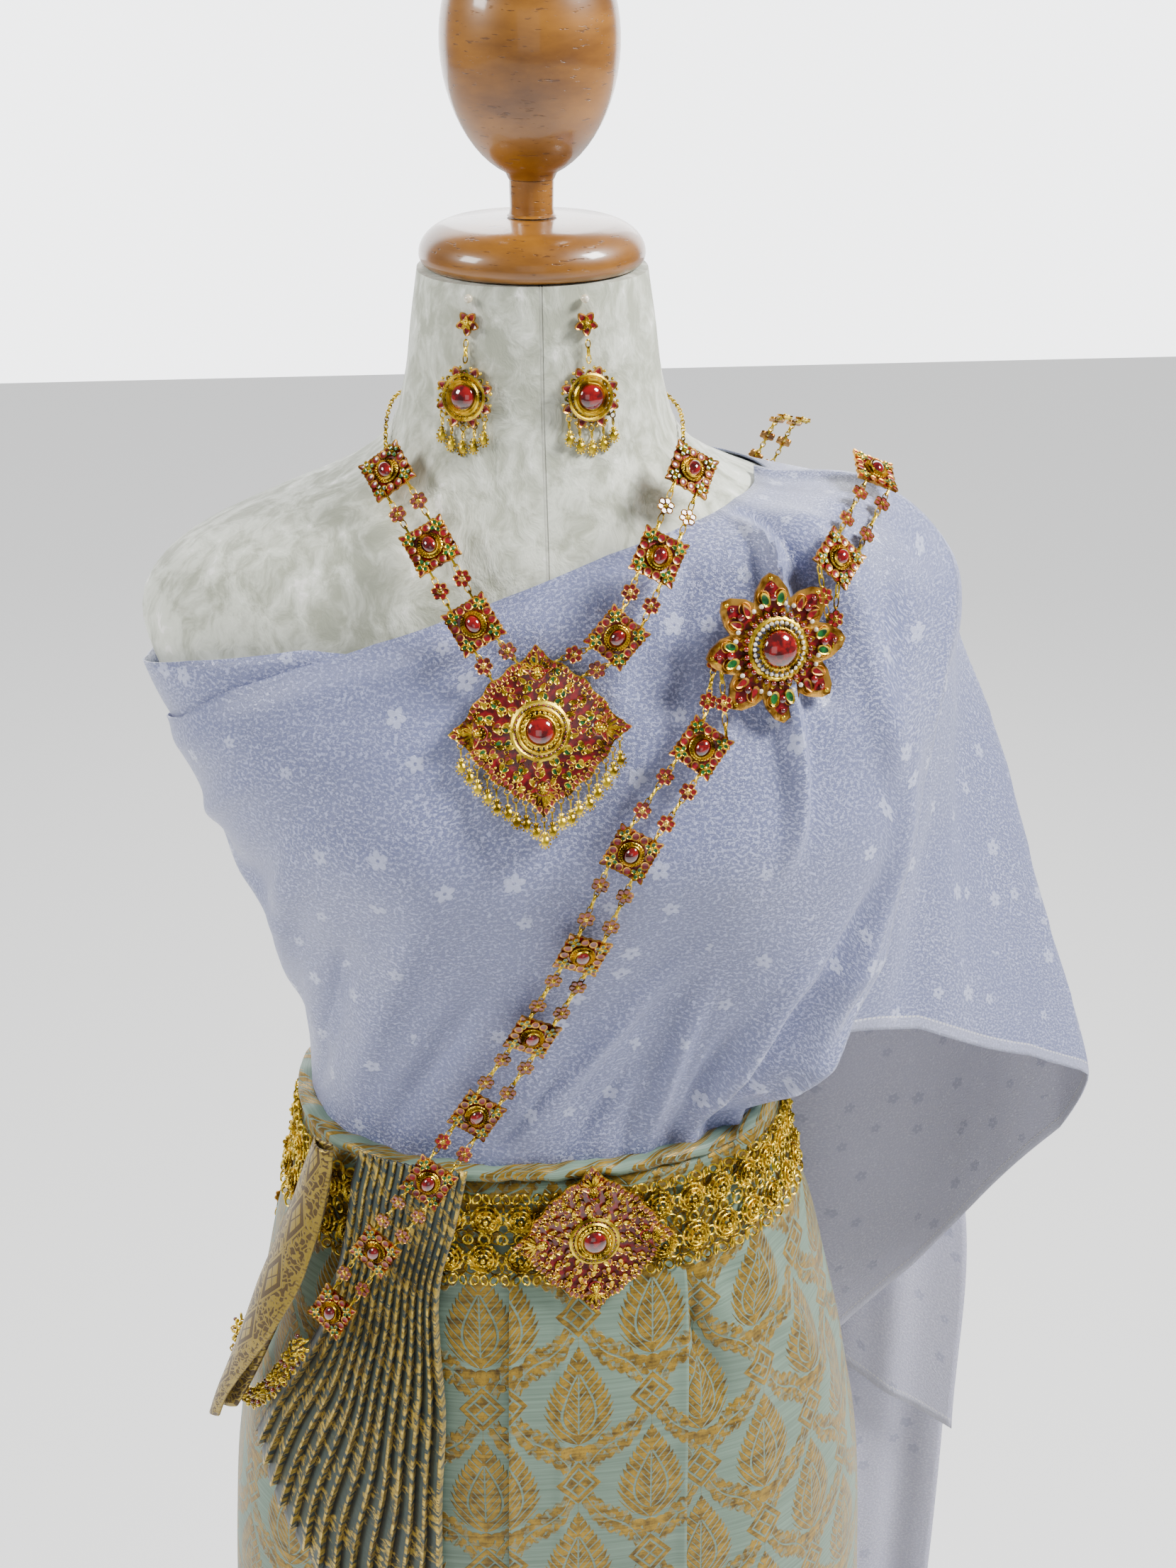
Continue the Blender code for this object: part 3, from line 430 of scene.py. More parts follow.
VELVET = velvet_finish()
net = bmesh.new()
bmesh.ops.create_grid(net, x_segments=128, y_segments=110, size=0.5)
for vert in net.verts:
    vert.co = surface(torso_radius, 90 + 360 * (vert.co.x + 0.5), 0.740 + (vert.co.y + 0.5) * 0.738)[0]
bmesh.ops.remove_doubles(net, verts=net.verts, dist=1e-5)
bmesh.ops.holes_fill(net, edges=[edge for edge in net.edges if edge.is_boundary], sides=0)
bmesh.ops.recalc_face_normals(net, faces=net.faces)
piece_of("velvet_form", net, [VELVET], "velvet", "form_torso")

# ---------------------------------------------------------------- Shawl (sabai)
# One length of lavender jacquard satin: a first turn round the body, a second over it that climbs to the
# right shoulder, a cape that stands out over the arm, and a tail down the back.
SHAWL_FOOT, DRAPE_PEAK = 0.992, 1.379
UNDER_TOP = ((-180, 1.296), (-162, 1.312), (-146, 1.3230), (-134, 1.3210), (-115, 1.312), (-90, 1.306),
             (-45, 1.290), (0, 1.272), (60, 1.272), (120, 1.278), (180, 1.296))
DRAPE_TOP = ((-204, 1.262), (-180, 1.268), (-164, 1.284), (-155, 1.303), (-146, 1.315), (-134, 1.3270),
             (-120, 1.337), (-104, 1.346), (-90, 1.353), (-70, 1.363), (-47, 1.3715), (-27, 1.3770),
             (0, 1.3790))
STAND_OFF = ((1.000, 0.000), (1.058, 0.001), (1.078, 0.030), (1.099, 0.042), (1.159, 0.047), (1.216, 0.034),
             (1.278, 0.018), (1.320, 0.009), (1.350, 0.006), (1.380, 0.004))
DRAPE_END = ((0.992, -26), (1.060, -22), (1.280, -17), (1.330, -10), (1.370, -3))
CAPE = ((0.700, 0.170, 0.330, 0.170), (0.900, 0.166, 0.332, 0.160), (1.010, 0.158, 0.319, 0.152),
        (1.120, 0.164, 0.280, 0.142), (1.213, 0.176, 0.248, 0.132), (1.279, 0.189, 0.222, 0.120),
        (1.330, 0.180, 0.200, 0.100), (1.378, 0.100, 0.110, 0.070))
CAPE_REACH = ((-26, 0.0), (-18, 0.06), (-9, 0.30), (-2.5, 0.53), (2, 0.78), (6, 1.0), (11, 0.98), (18, 0.84),
              (30, 0.52), (42, 0.16), (52, 0.0), (70, 0.0))
CAPE_HEM = ((-22, 1.100), (-9, 1.078), (-2.5, 1.052), (2, 1.030), (5.5, 1.004), (11, 0.942), (18, 0.875),
            (25, 0.800), (32, 0.740), (60, 0.690))
CAPE_PEAK = 1.3745
TAIL = ((0.640, -0.040, 0.296, 0.162, 0.137), (0.850, -0.040, 0.287, 0.160, 0.137),
        (1.000, -0.034, 0.220, 0.157, 0.150), (1.120, -0.026, 0.150, 0.153, 0.151),
        (1.220, -0.016, 0.105, 0.142, 0.142), (1.300, -0.008, 0.075, 0.120, 0.123),
        (1.350, -0.002, 0.055, 0.098, 0.101), (1.372, 0.002, 0.044, 0.086, 0.087))
TAIL_FOOT = ((0.0, 0.800), (0.55, 0.800), (0.76, 0.700), (1.0, 0.640))
UNDER_TAIL = ((0.110, -0.036, 0.276, 0.166, 0.152), (0.400, -0.036, 0.290, 0.166, 0.150),
              (0.700, -0.036, 0.292, 0.166, 0.148), (0.860, -0.036, 0.280, 0.166, 0.150))


def satin_finish(name, face, deep, flower, rough, crinkle):
    """Jacquard: five-petalled flowers and tiny leaf swirls, told from the ground by their sheen. The sparkle of the
    small curl flecks and the crêpe is painted into the colour as the lighter face tone over deep, and a flower tone
    lighter than the ground is the flowers' painted sheen.
    """
    made, shade, skin = new_finish(name, Sheen_Weight=0.25, Sheen_Roughness=0.35, Specular_IOR_Level=0.75)
    cut = shade.laid("cut")
    edges = shade.axes(shade.laid("edges"))
    cells = {"feature": "F1"}
    spread = {"Vector": cut, "Scale": 26.0, "Randomness": 1.0}
    centre = shade.node("TexVoronoi", cells, spread, "Position")
    lot = shade.axes(shade.node("TexVoronoi", cells, spread, "Color"))
    x, y, _ = shade.axes(shade.node("VectorMath", {"operation": "SUBTRACT"}, {0: cut, 1: centre}))
    reach = (x * x + y * y).maths("SQRT", x * x + y * y)
    angle = x.maths("ARCTAN2", y, x) + lot[0] * math.tau
    petals = (angle * 2.5).maths("COSINE", angle * 2.5).size()
    rim = (0.0024 + petals * 0.0021) * (0.75 + lot[2] * 0.5)
    bloom = (reach - rim).over(0.0004, -0.0003) * reach.over(0.0007, 0.0011) * lot[1].over(0.16, 0.18)
    fine = {"Vector": shade.stretched(cut, 1, 0.75, 1), "Scale": 210.0, "Randomness": 1.0}
    leaf = shade.node("TexVoronoi", {"feature": "F1", "distance": "MINKOWSKI"}, {**fine, "Exponent": 0.8})
    vine = shade.grain(cut, 95, 2.0).line(0.5, 0.030, 0.03)
    leaves = leaf.over(0.36, 0.26) * vine.most(shade.grain(cut, 60, 1.0).over(0.5, 0.56)) * 0.85
    crepe = shade.grain(shade.stretched(cut, 1, 1.3, 1), 560, 3.0, 0.7)
    curl = shade.grain(shade.stretched(cut, 1, 1.25, 1), 520, 3.0, 0.7)
    drift = shade.grain(cut, 14, 2.0).over(0.30, 0.70)
    hem = edges[0].over(0.0085, 0.0078)
    stitch = (edges[0].line(0.0075, 0.0004, 0.0003)) * (shade.axes(cut)[0] * 330).part().over(0.35, 0.45)
    # the small curl flecks and leaf swirls, which also carry the satin's sparkle painted into the colour
    fleck_and_sparkle = curl.over(0.48, 0.60) * (0.45 + drift * 0.55)
    fleck_and_sparkle = fleck_and_sparkle.most(leaves * 0.8)
    # painted sparkle: the flecks and crêpe lift the colour from deep to the lighter face tone
    colour = (fleck_and_sparkle * 0.66 + crepe * 0.40).over(0.0, 0.9).mixed(deep, face)
    # the flowers in the flower tone; where it is lighter, as on the face side, it is painted sheen
    colour = (bloom * 0.80).mixed(colour, flower)
    colour = (hem * 0.35).mixed(colour, rgb(205, 206, 224))
    colour = (stitch * 0.8).mixed(colour, rgb(238, 236, 240))
    figure = bloom.most(fleck_and_sparkle)
    relief = crepe * crinkle + fleck_and_sparkle * 0.6 + bloom * 0.3 - stitch * 0.8 + hem * 0.7
    shade.coat(skin, colour, rough - figure * 0.20 + crepe * 0.12, relief, 0.0004)
    return made


# on the face side, face is the painted sparkle tone and flower the flowers' painted sheen
SATIN = satin_finish("lavender_satin", rgb(186, 192, 232), rgb(100, 108, 152), rgb(196, 202, 234), 0.33, 1.0)
SATIN_BACK = satin_finish("lavender_wrong_side", rgb(216, 216, 236), rgb(182, 182, 208), rgb(160, 162, 192),
                          0.60, 1.7)


def hung(name, across, down, place, looks, slot, *nodes, thickness=0.0009, anchor=0.0, joined=False):
    """A sheet placed by place(u, v); its cut is laid out in metres along its own rows and columns."""
    net = bmesh.new()
    bmesh.ops.create_grid(net, x_segments=across, y_segments=down, size=0.5)
    spots = {}
    for vert in net.verts:
        i, j = round((vert.co.x + 0.5) * across), round((vert.co.y + 0.5) * down)
        spots[vert] = (i, j)
        vert.co = place(i / across, j / down)
    grid = {spot: vert.co.copy() for vert, spot in spots.items()}
    run, rise = {}, {}
    for j in range(down + 1):
        run[0, j] = 0.0
        for i in range(1, across + 1):
            run[i, j] = run[i - 1, j] + (grid[i, j] - grid[i - 1, j]).length
    for i in range(across + 1):
        rise[i, 0] = 0.0
        for j in range(1, down + 1):
            rise[i, j] = rise[i, j - 1] + (grid[i, j] - grid[i, j - 1]).length
    start = round(anchor * across)
    cut, edges, share = [net.loops.layers.uv.new(name) for name in ("cut", "edges", "share")]
    for face in net.faces:
        for loop in face.loops:
            i, j = spots[loop.vert]
            loop[cut].uv = (run[i, j] - run[start, j], rise[i, j])
            loop[edges].uv = (rise[i, j], rise[i, down] - rise[i, j])
            loop[share].uv = (i / across, j / down)
    if joined:
        bmesh.ops.remove_doubles(net, verts=net.verts, dist=1e-5)
    piece = piece_of(name, net, looks, slot, *nodes, sharp=60)
    wall = piece.modifiers.new("cloth", "SOLIDIFY")
    wall.thickness = thickness
    wall.offset = 1.0
    wall.use_quality_normals = True
    if len(looks) > 1:
        wall.material_offset = 1
        wall.material_offset_rim = 0
    return piece


def folded(folds, degrees, z):
    """Sum of listed folds: a soft ridge or hollow along a line from one (angle, height) to another."""
    total = 0.0
    for a0, z0, a1, z1, width, height in folds:
        ax, az = (a1 - a0) * 0.0024, z1 - z0
        px, pz = (degrees - a0) * 0.0024, z - z0
        length = math.hypot(ax, az)
        t = (px * ax + pz * az) / (length * length)
        away = (px * az - pz * ax) / length
        if -0.25 < t < 1.25 and abs(away) < 3.2 * width:
            total += height * math.exp(-(away / width) ** 2) * ease((t + 0.25) / 0.45) * ease((1.25 - t) / 0.45)
    return total


def stepped(a0, z0, a1, z1, degrees, z, height):
    """The edge of a layer beneath, printing through along a line."""
    ax, az = (a1 - a0) * 0.0024, z1 - z0
    away = ((degrees - a0) * 0.0024 * az - (z - z0) * ax) / math.hypot(ax, az)
    t = ((degrees - a0) * 0.0024 * ax + (z - z0) * az) / (ax * ax + az * az)
    return height * ease(away / 0.0035 + 0.5) * math.exp(-max(away, 0) / 0.05) * ease(t / 0.2) * ease((1.1 - t) / 0.3)


def slack(z):
    return 0.0032 * ease((z - 1.245) / 0.045) + 0.0018 * math.exp(-((z - 1.238) / 0.05) ** 2)


def shawl_lift(degrees, z):
    return 0.0064 + table(STAND_OFF, z) * ease((degrees + 66) / 50) + 1.8 * slack(z)


# ridges and hollows of the outer turn: from angle, height to angle, height, half width, rise
DRAPE_FOLDS = (
    (-52, 1.000, -38, 1.150, 0.0050, 0.0030), (-58, 1.000, -46, 1.120, 0.0045, -0.0022),
    (-64, 0.998, -54, 1.140, 0.0060, 0.0024), (-45, 1.010, -28, 1.200, 0.0055, -0.0030),
    (-40, 1.000, -24, 1.130, 0.0045, 0.0034), (-34, 1.020, -22, 1.260, 0.0060, 0.0030),
    (-72, 0.996, -66, 1.080, 0.0060, -0.0016), (-80, 0.996, -74, 1.060, 0.0070, 0.0014),
    (-112, 1.030, -60, 1.170, 0.0080, 0.0018), (-104, 1.000, -70, 1.100, 0.0070, -0.0018),
    (-128, 1.010, -92, 1.110, 0.0080, 0.0016), (-146, 1.040, -112, 1.150, 0.0090, -0.0016),
    (-150, 1.080, -120, 1.200, 0.0100, 0.0018), (-168, 1.060, -140, 1.170, 0.0080, -0.0020),
    (-172, 1.120, -146, 1.215, 0.0080, 0.0022), (-164, 1.190, -136, 1.262, 0.0090, -0.0014),
    (-176, 1.215, -150, 1.262, 0.0060, 0.0016), (-120, 1.245, -92, 1.300, 0.0140, 0.0014),
    (-36, 1.330, -46, 1.240, 0.0035, 0.0034), (-34, 1.378, -37, 1.325, 0.0026, 0.0040),
    (-30, 1.378, -33, 1.300, 0.0040, -0.0026), (-25, 1.360, -26, 1.260, 0.0060, 0.0022),
    (-60, 1.360, -74, 1.300, 0.0090, 0.0012), (-50, 1.366, -60, 1.290, 0.0080, -0.0012),
    (-100, 1.342, -128, 1.318, 0.0060, 0.0012), (-196, 1.230, -160, 1.180, 0.0090, 0.0018),
    (-200, 1.150, -170, 1.100, 0.0090, -0.0016), (-200, 1.050, -176, 1.020, 0.0080, 0.0014))


def drape_bulge(degrees, z):
    """Folds held flat near the belt and free above it, and the first turn's edge printing through."""
    free = 0.8 + 1.6 * ease((z - 1.045) / 0.06)
    bulge = free * folded(DRAPE_FOLDS, degrees, z) + stepped(-116, 1.040, -66, 1.150, degrees, z, 0.0024)
    return bulge + 0.0006 * math.sin(degrees * 0.21 + z * 55) * math.sin(z * 43 - degrees * 0.07)


def rim_lift(degrees, z):
    """The top edge lies on the first turn at the left, and straight on the velvet past it."""
    return 0.0014 + (0.0032 + slack(z)) * (1 - ease((degrees + 128) / 24))


def drape_place(u, v):
    end = table(DRAPE_END, SHAWL_FOOT + (DRAPE_PEAK - SHAWL_FOOT) * v)
    degrees = -204 + (end + 204) * u
    z = SHAWL_FOOT + (table(DRAPE_TOP, degrees) - SHAWL_FOOT) * v
    lift = shawl_lift(degrees, z) + drape_bulge(degrees, z)
    lift += (rim_lift(degrees, z) - lift) * ease((v - 0.95) / 0.05) + 0.0022 * math.exp(-((1 - u) / 0.010) ** 2)
    return surface(torso_radius, degrees, z, lift)[0]


def under_place(u, v):
    degrees = -180 + 360 * u
    z = SHAWL_FOOT + (table(UNDER_TOP, degrees) - SHAWL_FOOT) * v
    crumple = 0.0008 * math.sin(degrees * 0.13 + z * 60) * ease((1.25 - z) / 0.1)
    back = folded(BACK_FOLDS, degrees, z)
    return surface(torso_radius, degrees, z, 0.0024 + slack(z) + max(crumple, -0.0004) + back)[0]


BACK_FOLDS = (
    (20, 1.060, 60, 1.120, 0.0080, 0.0022), (40, 1.020, 90, 1.090, 0.0080, 0.0020),
    (80, 1.160, 130, 1.120, 0.0090, 0.0022), (100, 1.060, 150, 1.020, 0.0080, 0.0020),
    (60, 1.220, 120, 1.230, 0.0100, 0.0016), (150, 1.200, 178, 1.150, 0.0090, 0.0016),
    (10, 1.180, 50, 1.230, 0.0090, 0.0018), (120, 1.010, 160, 1.050, 0.0060, 0.0016))

under_wrap = hung("shawl_first_turn", 240, 60, under_place, [SATIN], "satin", "sabai_under_wrap",
                  anchor=0.5, joined=True, thickness=0.0008)
front_drape = hung("shawl_second_turn", 270, 110, drape_place, [SATIN, SATIN_BACK], "satin", "sabai_front_drape",
                   anchor=0.6)

# ---------------------------------------------------------------- Cape and tail of the shawl
# The same cloth runs on over the shoulder, stands out over the missing arm, shows its matt wrong side
# below the hem, and falls behind in a loose tail over a longer end.
CAPE_FOLDS = (
    (-4, 1.060, -6, 1.300, 0.0120, 0.0050), (3, 1.020, -1, 1.250, 0.0100, -0.0050),
    (9, 0.960, 5, 1.240, 0.0140, 0.0060), (18, 0.880, 12, 1.200, 0.0140, -0.0060),
    (27, 0.820, 20, 1.180, 0.0160, 0.0070), (36, 0.760, 30, 1.150, 0.0160, -0.0060),
    (45, 0.720, 40, 1.150, 0.0180, 0.0060), (54, 0.700, 50, 1.100, 0.0160, -0.0040),
    (-16, 1.110, -12, 1.250, 0.0090, 0.0030), (-11, 1.090, -8, 1.200, 0.0080, -0.0034),
    (12, 1.240, 34, 1.120, 0.0120, 0.0040), (24, 1.280, 46, 1.200, 0.0120, -0.0034),
    (-8, 1.350, -2, 1.280, 0.0060, 0.0016), (6, 1.350, 8, 1.290, 0.0080, 0.0018))


def cape_radius(theta, z):
    degrees = math.degrees(theta)
    front, side, back = blend_rows(CAPE, z)
    inner = front + (back - front) * ease((degrees - 8) / 44)
    bell = inner + (side - inner) * table(CAPE_REACH, degrees)
    form = torso_radius(theta, z) + 0.0100 + 0.004 * ease((z - 1.28) / 0.03)
    if z < 1.042:
        form = max(form, oval(SKIRT, theta, z) + 0.0100)
    return math.log(math.exp(160 * bell) + math.exp(160 * form)) / 160


SKIRT = (                    # height, half width, depth in front, depth behind
    (0.060, 0.214, 0.158, 0.150), (0.300, 0.206, 0.151, 0.142), (0.500, 0.199, 0.146, 0.137),
    (0.673, 0.191, 0.139, 0.132), (0.781, 0.184, 0.132, 0.127), (0.859, 0.171, 0.125, 0.120),
    (0.916, 0.158, 0.118, 0.112), (0.960, 0.148, 0.110, 0.104), (0.990, 0.138, 0.104, 0.098),
    (1.015, 0.131, 0.100, 0.094), (1.042, 0.1285, 0.098, 0.092))


def cape_place(u, v):
    start = table(DRAPE_END, 1.100 + 0.2745 * v) - 2.5 * ease((0.80 - v) / 0.2)
    degrees = start + (60 - start) * u
    theta = math.radians(degrees)
    foot = table(CAPE_HEM, degrees)
    z = foot + (CAPE_PEAK - foot) * v
    radius = cape_radius(theta, z)
    fullness = ease((degrees - start) / 9) * ease((1.36 - z) / 0.07)
    radius += folded(CAPE_FOLDS, degrees, z) * fullness
    bell = Vector((radius * math.cos(theta), radius * math.sin(theta), z))
    lift = shawl_lift(degrees, z) + drape_bulge(degrees, z)
    lift -= 0.0075 * ease((1.31 - z) / 0.05) * ease(1 - (degrees - start) / 14)
    lift += (rim_lift(degrees, z) - lift) * ease((v - 0.93) / 0.07)
    seam = surface(torso_radius, degrees, z, lift)[0]
    share = ease((degrees - start) / 10) * ease((CAPE_PEAK - z) / 0.035)
    return seam.lerp(bell, share)


def fall(rows, u, z, ripple, folds):
    left, right, y_left, y_right = blend_rows(rows, z)
    wave = ripple * math.sin(u * math.tau * 1.5)
    for place, width, height, from_z in folds:
        wave += height * math.exp(-((u - place) / width) ** 2) * ease((from_z - z) / 0.25)
    return Vector((left + (right - left) * u, y_left + (y_right - y_left) * u + wave, z))


TAIL_FOLDS = ((0.10, 0.05, 0.008, 1.36), (0.24, 0.04, -0.006, 1.34), (0.38, 0.05, 0.009, 1.32),
              (0.55, 0.05, -0.005, 1.30), (0.70, 0.06, 0.009, 1.24), (0.86, 0.04, -0.005, 1.16))


def tail_place(u, v):
    foot = table(TAIL_FOOT, 1 - u)
    z = foot + (1.372 - foot) * v
    return fall(TAIL, 1 - u, z, 0.002 * ease((1.2 - z) / 0.3), TAIL_FOLDS)


def under_tail_place(u, v):
    return fall(UNDER_TAIL, 1 - u, 0.110 + 0.750 * v, 0.002,
                ((0.14, 0.05, -0.005, 0.9), (0.30, 0.04, 0.007, 0.86), (0.47, 0.06, -0.005, 0.9),
                 (0.64, 0.05, 0.008, 0.9), (0.78, 0.04, -0.005, 0.84), (0.92, 0.04, 0.006, 0.9)))


cape = hung("shawl_cape", 150, 120, cape_place, [SATIN, SATIN_BACK], "satin", "sabai_shoulder_cape")
tail = hung("shawl_tail", 90, 120, tail_place, [SATIN, SATIN_BACK], "satin", "sabai_tail")
tail_under = hung("shawl_tail_end", 90, 90, under_tail_place, [SATIN, SATIN_BACK], "satin", "sabai_tail_under")

# ---------------------------------------------------------------- Skirt (pha nung)
# A tube of stiff mint silk brocaded in gold: lotus buds in an ogee net of leaf bands, with a small diamond
# at each crossing. A flat panel is folded over its front, and its waist edge is rolled above the belt.
def brocade_finish():
    made, shade, skin = new_finish("mint_gold_brocade", Sheen_Weight=0.12, Sheen_Roughness=0.4)
    laid = shade.laid("cut")
    cut = shade.node("Mapping", {}, {"Vector": laid, "Location": (0.002, 0.046, 0)})
    u, v, _ = shade.axes(cut)
    wide, tall = 0.078, 0.100
    ax, ay = u.wrapped(wide / 2), v.wrapped(tall / 2)
    bx, by = (u + wide / 2).wrapped(wide / 2), (v + tall / 2).wrapped(tall / 2)
    near = ax.size() / wide + ay.size() / tall
    first = near.maths("LESS_THAN", near, 0.5)
    x, y = first.choose(bx, ax), first.choose(by, ay)
    reach, up = x.size(), y.size()
    # leafy bands along the ogee net
    t = reach * (2 / wide)
    away = (reach / wide + up / tall - 0.5 + (t * math.tau).sine() * 0.050).size()
    scallop = (t * (4 * math.tau)).sine().size() * 0.022 + 0.072
    chevron = (t * 8 + away * 9).part().over(0.20, 0.32)
    vines = shade.grain(cut, 270, 1.0).over(0.43, 0.49).most(chevron * 0.6)
    band = (away - scallop).over(0.006, -0.006) * vines * away.over(0.003, 0.009)
    # diamonds at the crossings
    top_x, top_y = reach, tall / 2 - up
    side_x, side_y = wide / 2 - reach, up
    top, side = top_x / 0.0125 + top_y / 0.0135, side_x / 0.0125 + side_y / 0.0135
    beside = top.maths("LESS_THAN", side, top)
    dx, dy = beside.choose(top_x, side_x), beside.choose(top_y, side_y)
    far = top.least(side)
    petals = (dx - dy).size().over(0.0003, 0.0011) * far.over(0.62, 0.56)
    diamond = petals.most(far.line(0.84, 0.11, 0.03))
    band = band * far.over(1.02, 1.10)
    # lotus bud
    climb = ((y + 0.026) / 0.058).most(0.0001).least(1.0)
    edge = (climb.maths("POWER", climb, 0.66) * math.pi).sine() * 0.0172
    leaflet = ((y - reach * 1.15) / 0.0054).part()
    edge = edge * (0.84 + leaflet * 0.26)
    inner_climb = ((y + 0.0200) / 0.036).most(0.0001).least(1.0)
    inner = (inner_climb.maths("POWER", inner_climb, 0.66) * math.pi).sine() * 0.0088
    outline = (reach - inner).line(0.0004, 0.0005, 0.0003) * inner_climb.over(0.0, 0.02) * inner_climb.over(1.0, 0.98)
    veins = leaflet.over(0.13, 0.24).most((reach - inner).over(0.0012, 0.0006))
    fine = ((y - reach * 1.3) / 0.0046).part().over(0.14, 0.26).most((reach - inner).over(-0.0016, -0.0008))
    stem = reach.over(0.0002, 0.0007).most((reach - inner).over(-0.0010, -0.0002))
    bud = (reach - edge).over(0.0004, -0.0004) * veins * fine * stem * (1 - outline)
    low = ((x / 0.0042).maths("POWER", (reach / 0.0042), 2.0)
           + ((y + 0.0315) / 0.0048) * ((y + 0.0315) / 0.0048)).over(1.1, 0.9)
    wing = (((reach - 0.0062) / 0.0036) * ((reach - 0.0062) / 0.0036)
            + ((y + 0.0290) / 0.0026) * ((y + 0.0290) / 0.0026))
    bud = bud.most(low).most(wing.over(1.1, 0.9))
    gold = band.most(diamond).most(bud)
    weft = (v * 7400).sine() * 0.5 + 0.5
    wear = shade.grain(cut, 150, 3.0, 0.6)
    slub = shade.grain(shade.stretched(cut, 12, 700, 1), 1.0, 2.0)
    specks = shade.grain(shade.stretched(cut, 900, 500, 1), 1.0, 1.0).over(0.62, 0.70)
    ground = slub.over(0.25, 0.75).mixed(rgb(96, 118, 102), rgb(120, 144, 126))
    thread = (wear * 0.8 + slub * 0.4).over(0.35, 0.80).mixed(rgb(64, 46, 2), rgb(168, 134, 40))
    thread = (specks * 0.55).mixed(thread, rgb(84, 58, 20))
    shade.coat(skin, gold.mixed(ground, thread),
               0.50 - gold * 0.10 + wear * 0.08, gold * 0.8 + weft * 0.12 + slub * 0.3, 0.00035, gold * 0.45)
    return made


BROCADE = brocade_finish()
PANEL_LIFT = 0.0024
FRONT_PANEL = ((0.060, -100.0, -65.0), (0.500, -101.0, -64.0), (0.800, -102.8, -62.0), (0.900, -103.0, -59.5),
               (0.985, -103.5, -55.5))
# soft ridges and hollows of the skirt: from angle, height to angle, height, half width, rise
SKIRT_FOLDS = (
    (-54, 0.985, -40, 0.900, 0.0080, 0.0040), (-60, 0.975, -50, 0.900, 0.0060, -0.0050),
    (-40, 0.985, -20, 0.860, 0.0100, 0.0030), (-30, 0.980, -8, 0.840, 0.0120, -0.0024),
    (-46, 0.860, -40, 0.400, 0.0160, 0.0026), (-24, 0.800, -20, 0.300, 0.0200, -0.0026),
    (-4, 0.980, 2, 0.600, 0.0160, 0.0026), (22, 0.980, 28, 0.400, 0.0200, -0.0030),
    (46, 0.985, 50, 0.300, 0.0180, 0.0030), (70, 0.985, 74, 0.200, 0.0200, -0.0030),
    (-112, 0.700, -110, 0.200, 0.0160, 0.0026), (-130, 0.720, -134, 0.150, 0.0200, -0.0030),
    (-152, 0.800, -156, 0.150, 0.0200, 0.0030), (-176, 0.980, -180, 0.300, 0.0200, -0.0026),
    (-200, 0.985, -204, 0.200, 0.0180, 0.0030), (-224, 0.985, -228, 0.300, 0.0200, -0.0030),
    (-248, 0.985, -250, 0.200, 0.0180, 0.0026))


def skirt_radius(theta, z):
    return oval(SKIRT, theta, z)


def skirt_place(u, v):
    degrees = -270 + 360 * u
    z = 0.060 + 0.982 * v
    calm = ease((z - 0.058) / 0.01) * ease((0.995 - z) / 0.02)
    if -105 < degrees < -56:
        calm = 0.0
    hem = 0.0012 * math.sin(degrees * 0.16) * ease((0.5 - z) / 0.4)
    return surface(skirt_radius, degrees, z, folded(SKIRT_FOLDS, degrees, z) * calm + hem)[0]


def panel_place(u, v):
    z = 0.064 + 0.930 * v
    left, right = blend_rows(FRONT_PANEL, z)
    degrees = left + (right - left) * u
    edge = 0.0016 * (math.exp(-(u / 0.05) ** 2) + math.exp(-((1 - u) / 0.04) ** 2))
    middle = -0.0010 * math.exp(-((u - 0.42) / 0.10) ** 2) * ease((z - 0.2) / 0.3)
    crease = 0.0012 * math.exp(-((u - 0.30) / 0.03) ** 2)
    lift = (PANEL_LIFT + edge + middle + crease) * (1 - 0.85 * ease((z - 0.976) / 0.009))
    return surface(skirt_radius, degrees, z, lift)[0]


def roll_place(u, v):
    degrees = -270 + 360 * u
    turn = 1.35 * math.pi * v
    soft = 0.0006 * math.sin(math.radians(degrees) * 17) + 0.0005 * math.sin(math.radians(degrees) * 41)
    out = 0.0004 + 0.0022 * math.sin(turn) - 0.0050 * ease((v - 0.45) / 0.4)
    return surface(skirt_radius, degrees, 1.0425, out)[0] + Vector((0, 0, 0.0030 - 0.0028 * math.cos(turn) + soft))


skirt = hung("skirt_tube", 260, 110, skirt_place, [BROCADE], "brocade", "skirt_wrap", anchor=0.5, joined=True,
             thickness=0.0012)
panel = hung("skirt_front_fold", 60, 120, panel_place, [BROCADE], "brocade", "skirt_front_panel", anchor=0.42,
             thickness=0.0012)
roll = hung("skirt_waist_edge", 200, 8, roll_place, [BROCADE], "brocade", "skirt_waist_roll", joined=True,
            thickness=0.0009)

# ---------------------------------------------------------------- Front pleats
# The skirt's spare width, laid in fourteen knife pleats, carried up over the belt and fanned out below it.
# Each pleat's pressed edge is the brocade's gold border; the ground between is painted dark, as shade.
PLEATS = 14
PLEAT_FAN = ((0.660, -170.0, -118.5), (0.820, -164.0, -118.0), (0.880, -157.5, -117.5), (0.914, -152.0, -118.2),
             (0.950, -147.0, -120.0), (0.987, -145.0, -121.0), (1.023, -144.0, -117.6), (1.052, -142.5, -115.0))


